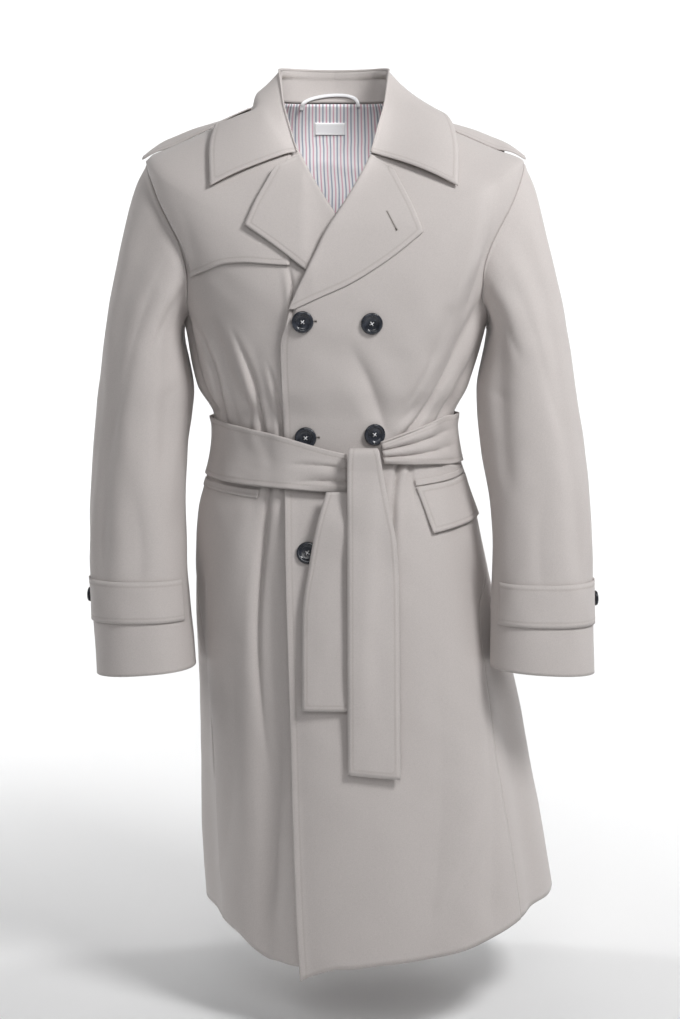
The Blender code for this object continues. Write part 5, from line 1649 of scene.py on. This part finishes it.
def tube(line, radius, sides=6):
    """Points and faces of a round thread along a line."""
    along = unit(np.gradient(line, axis=0))
    side = unit(np.cross(along, np.array((0.0, 0.1, 1.0))))
    up = np.cross(side, along)
    turn = math.tau * np.arange(sides)[:, None] / sides
    ring = side[:, None] * np.cos(turn) + up[:, None] * np.sin(turn)
    grid = line[:, None] + ring * radius
    ends = [tuple(range(sides)), tuple(range(len(line) * sides - 1, (len(line) - 1) * sides - 1, -1))]
    return list(grid.reshape(-1, 3)), grid_faces(grid, True).tolist() + ends


def thread_cross(radius, height, chance):
    """White thread crossed through the four holes, three strands each way."""
    strands = []
    s = np.linspace(-1, 1, 9)[:, None]
    for quarter in (0, 1):
        turn = math.tau * (quarter + 0.5) / BUTTON_HOLES
        along = np.array((math.cos(turn), math.sin(turn), 0.0))
        side = np.array((-along[1], along[0], 0.0))
        rise = 0.52 * height + 0.0006 * (1 - s * s) + 0.0002 * quarter - STRAND_SAG * (np.abs(s) == 1)
        for strand in (-1, 0, 1):
            shift = side * (strand * STRAND_GAP + chance.uniform(-STRAND_STRAY, STRAND_STRAY))
            across = along * s * HOLE_RING * radius / BUTTON_RADIUS * 1.04
            strands.append(tube(across + shift + rise * np.array(UPWARDS), STRAND_RADIUS))
    return joined(strands)


def add_button(name, size, place, normal):
    """A button seated on the cloth, turned by chance about its own axis, with its thread."""
    chance = np.random.default_rng(sum(map(ord, name)))
    facing = Vector(normal).to_track_quat("Z", "Y").to_matrix().to_4x4()
    seat = Matrix.Translation(place) @ facing @ Matrix.Rotation(chance.uniform(-0.5, 0.5), 4, "Z")
    mesh = BUTTON_MESHES[size].copy()
    mesh.transform(seat)
    button = add_object("horn_" + name, mesh)
    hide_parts(name)
    worn(button)
    points, faces = thread_cross(*BUTTON_SIZES[size], chance)
    points = [seat @ Vector(point) for point in points]
    worn(mesh_object("thread_" + name, points, faces, LOOKS["thread_white"]))


def add_buttonhole(name, tree, a, b, lift):
    """A worked buttonhole from a to b in front view: close stitches with an eyelet at b, round a dark strip
    of painted shade for the slit's gap.
    """
    spots = [front_hit(tree, *place) for place in np.linspace(a, b, HOLE_STITCHES)]
    line, out = (np.array(values) for values in zip(*spots))
    side = np.cross(out, unit(np.gradient(line, axis=0)))
    number = np.arange(HOLE_STITCHES)
    eye = EYELET_SIZE * smooth_step((number - EYELET_START) / 3)
    stitches = []
    for hand in (-1, 1):
        for i in number:
            near = line[i] + side[i] * hand * (HOLE_STITCH_FROM + eye[i])
            far = line[i] + side[i] * hand * (HOLE_STITCH_TO + eye[i])
            middle = (near + far) / 2 + out[i] * HOLE_STITCH_CROWN
            stitches.append(tube(np.array([near, middle, far]) + out[i] * lift, HOLE_STITCH_RADIUS, 4))
    worn(mesh_object("buttonhole_" + name, *joined(stitches), LOOKS["thread"]))
    # A dark strip painted where the slit's gap would be in shade
    wide = (SLIT_HALF_WIDTH + SLIT_EYELET * hump((number - EYELET_MIDDLE) / 2.0))[:, None]
    grid = np.stack([line - side * wide, line + side * wide], 1) + out[:, None] * lift
    painted_shade_slit = mesh_object("painted_shade_slit_" + name, grid.reshape(-1, 3), grid_faces(grid), LOOKS["painted_shade_slit"], smooth=False)
    worn(painted_shade_slit)


# ---------------------------------------------------------------- neck


def inner_y(tree, x, z):
    """The y of the cloth inside the back of the neck, or just above a gap in it."""
    hits = (tree.ray_cast(Vector((x, 0.0, z + up)), BACKWARDS)[0] for up in (0.0, NECK_SEARCH_UP))
    return next(hit.y for hit in hits if hit is not None)


def neck_grid(tree, x, z, rounds, offset):
    x, z = np.broadcast_arrays(x, z)
    y = each(lambda a, b: inner_y(tree, a, b), x, z)
    return stack(x, calmed(y, rounds) - offset, z)


def add_label(tree):
    """The label's place: a bare white woven patch, stitched at its two ends."""
    x = LABEL_MIDDLE[0] + LABEL_SIZE[0] * (0.5 - np.linspace(0, 1, 25))[None]
    z = LABEL_MIDDLE[1] + LABEL_SIZE[1] * (np.linspace(0, 1, 11) - 0.5)[:, None]
    grid = neck_grid(tree, x, z, 6, LINING_WALL + 1.2 * LAY_GAP)
    add_cloth("neck_label", grid, LABEL_WALL, ["lining_back"], slot="white_cloth")
    out = np.tile(FORWARDS, (7, 1))
    lines = [(grid[2:9, column], out) for column in (2, 22)]
    ends = add_stitches("label", lines, 0.0005, length=0.0018, pitch=0.0027)
    ends.data.materials[0] = LOOKS["thread_white"]


def add_loop(tree):
    """The hanger loop: a folded white ribbon in an arch, tacked at both ends."""
    turn = np.linspace(0, math.pi, 49)[None]
    side = np.linspace(0, 1, 7)[:, None]
    x = LOOP_MIDDLE[0] + (LOOP_HALF_SPAN - LOOP_WIDTH * side) * np.cos(turn)
    x = x + LOOP_LEAN[0] * np.sin(turn) ** 2
    z = LOOP_MIDDLE[1] + (LOOP_HEIGHT - LOOP_WIDTH * side) * np.sin(turn) ** LOOP_CURVE
    z = z + LOOP_LEAN[1] * np.cos(turn)
    crown = LOOP_CROWN * np.sin(math.pi * side)
    grid = faced(neck_grid(tree, x, z, 8, FLAP_WALL + 3.0 * LAY_GAP + crown), FORWARDS)
    add_cloth("hanger_loop", grid, LOOP_WALL, ["collar_stand"], slot="white_cloth")


# ---------------------------------------------------------------- the coat, the floor, the light, the camera


def dress_body():
    right, left, back = front_grid(-1), front_grid(1), back_grid()
    seamed = int(np.argmin(np.abs(left[:, 0, 2] - BREAK_Z)))
    for side, grid, edge, below in (
        ("right", tucked(right, 1, 0), right[:seamed, -1], ["back"]),
        ("left", tucked(left, 0, 1), left[:seamed, 0], ["back", "front_right"]),
    ):
        add_cloth("front_" + side, grid, WALL, below, [edge], inset=FRONT_STITCH_INSET)
    add_cloth("back", tucked(back, 1, 1), WALL)
    lining = lining_grid()
    add_cloth("lining_back", lining, LINING_WALL, ["back"], slot="shirting")
    add_sleeve("right", RIGHT_SLEEVE, -1)
    add_sleeve("left", LEFT_SLEEVE, 1)
    return right, left, back, lining


def dress_buttons(fronts):
    for name, x, z in BUTTONS:
        place, normal = front_hit(fronts, x, z)
        add_button(name, "large", seated(fronts, place, normal, BUTTON_RADIUS, WALL / 2), normal)
        if x < 0:
            start, end = (x + HOLE_ENDS[0], z), (x + HOLE_ENDS[1], z + HOLE_RISE)
            add_buttonhole(name, fronts, start, end, WALL / 2 + HOLE_LIFT)


def dress_coat():
    right, left, back, lining = dress_body()
    storm = storm_flap_grid(grid_tree(right))
    add_cloth("storm_flap", storm, FLAP_WALL, ["front_right"], [storm[0], storm[:, -1]])
    add_lapel("right", RIGHT_LAPEL, grid_tree(right, storm), RIGHT_ROLL_LOW)
    lapel = add_lapel("left", LEFT_LAPEL, grid_tree(left), LEFT_ROLL_LOW)
    shoulders = grid_tree(right, left, back, storm)
    straps = [add_epaulette(side, sign, shoulders) for side, sign in (("right", -1), ("left", 1))]
    stand = add_collar(grid_tree(right, left, back, storm, *straps))
    fronts = grid_tree(right, left)
    add_flap("pocket_flap_left", FLAP_LEFT, fronts, 20, 0.0, FLAP_STAND_OFF, ("low", "first", "last", "top"))
    add_flap("pocket_welt_left", WELT_LEFT, fronts, 5, WELT_SUNK)
    add_flap("pocket_welt_right", WELT_RIGHT, fronts, 7, WELT_SUNK, sides=("top",))
    dress_buttons(fronts)
    add_buttonhole("lapel", grid_tree(lapel), *LAPEL_HOLE, FLAP_WALL / 2 + HOLE_LIFT)
    belt = belt_grid(grid_tree(right, left, back))
    add_cloth("belt_band", belt, BELT_WALL, ["back", "front_left"], [belt[0], belt[-1]])
    add_knot()
    over = WALL / 2 + LAY_GAP + BELT_WALL / 2
    behind = add_belt_end("belt_end_behind", (), BELT_BEHIND_FALL, fronts, over, END_BEHIND_REACH, 0.0, 51)
    covered = grid_tree(right, left, behind)
    over += BELT_WALL / 2
    head = smooth_rows(BELT_FRONT_TOP, END_HEAD_ROWS + 1)[:-1]
    add_belt_end("belt_end_front", head, BELT_FRONT_FALL, covered, over, END_FRONT_REACH, END_SLANT, 52)
    inside = grid_tree(lining, stand)
    add_label(inside)
    add_loop(inside)


def add_floor():
    """A plain pale floor that curves up into a backdrop."""
    turns = [math.pi / 2 * k / FLOOR_STEPS for k in range(FLOOR_STEPS + 1)]
    bend = [(math.sin(turn), 1 - math.cos(turn)) for turn in turns]
    profile = [(FLOOR_BEND * (1 + y), FLOOR_Z + FLOOR_BEND * z) for y, z in bend]
    profile = [(FLOOR_FRONT, FLOOR_Z), *profile, (2 * FLOOR_BEND, BACKDROP_TOP)]
    grid = np.array([[(x, y, z) for x in (-BACKDROP_HALF_WIDTH, BACKDROP_HALF_WIDTH)] for y, z in profile])
    mesh_object("floor", grid.reshape(-1, 3), grid_faces(grid), LOOKS["floor"])


def add_light(name, kind, place, target, power, **settings):
    data = bpy.data.lights.new(name, kind)
    data.energy = power
    for key, value in settings.items():
        setattr(data, key, value)
    light = add_object(name, data)
    light.location = place
    light.rotation_euler = (Vector(target) - Vector(place)).to_track_quat("-Z", "Y").to_euler()


def light_scene():
    """A soft key from the viewer's right, a weak front light, a lit backdrop and a spot in the neck."""
    world = bpy.data.worlds.new("studio")
    bpy.context.scene.world = world
    world.use_nodes = True
    set_inputs(world.node_tree.nodes["Background"], {"Color": WORLD_COLOUR, "Strength": WORLD_STRENGTH})
    for name, place, target, size, power in LIGHTS:
        add_light(name, "AREA", place, target, power, shape="DISK", size=size)
    angle = math.radians(NECK_LIGHT_ANGLE)
    soft = {"spot_size": angle, "spot_blend": 1.0, "shadow_soft_size": NECK_LIGHT_SIZE}
    add_light("neck", "SPOT", *NECK_LIGHT, NECK_LIGHT_POWER, **soft)
    bpy.context.scene.view_settings.view_transform = "Standard"


def add_camera():
    data = bpy.data.cameras.new("camera")
    data.sensor_width = data.sensor_height = SENSOR
    data.lens = SENSOR * -CAMERA_PLACE[1] / (METRES_PER_PIXEL * IMAGE_HEIGHT)
    data.shift_y = -(IMAGE_HEIGHT / 2 - HORIZON_ROW) / IMAGE_HEIGHT
    data.clip_start, data.clip_end = CAMERA_CLIP
    camera = add_object("camera", data)
    camera.location = CAMERA_PLACE
    camera.rotation_euler = (math.radians(90), 0, 0)
    bpy.context.scene.camera = camera


dress_coat()
add_floor()
light_scene()
add_camera()
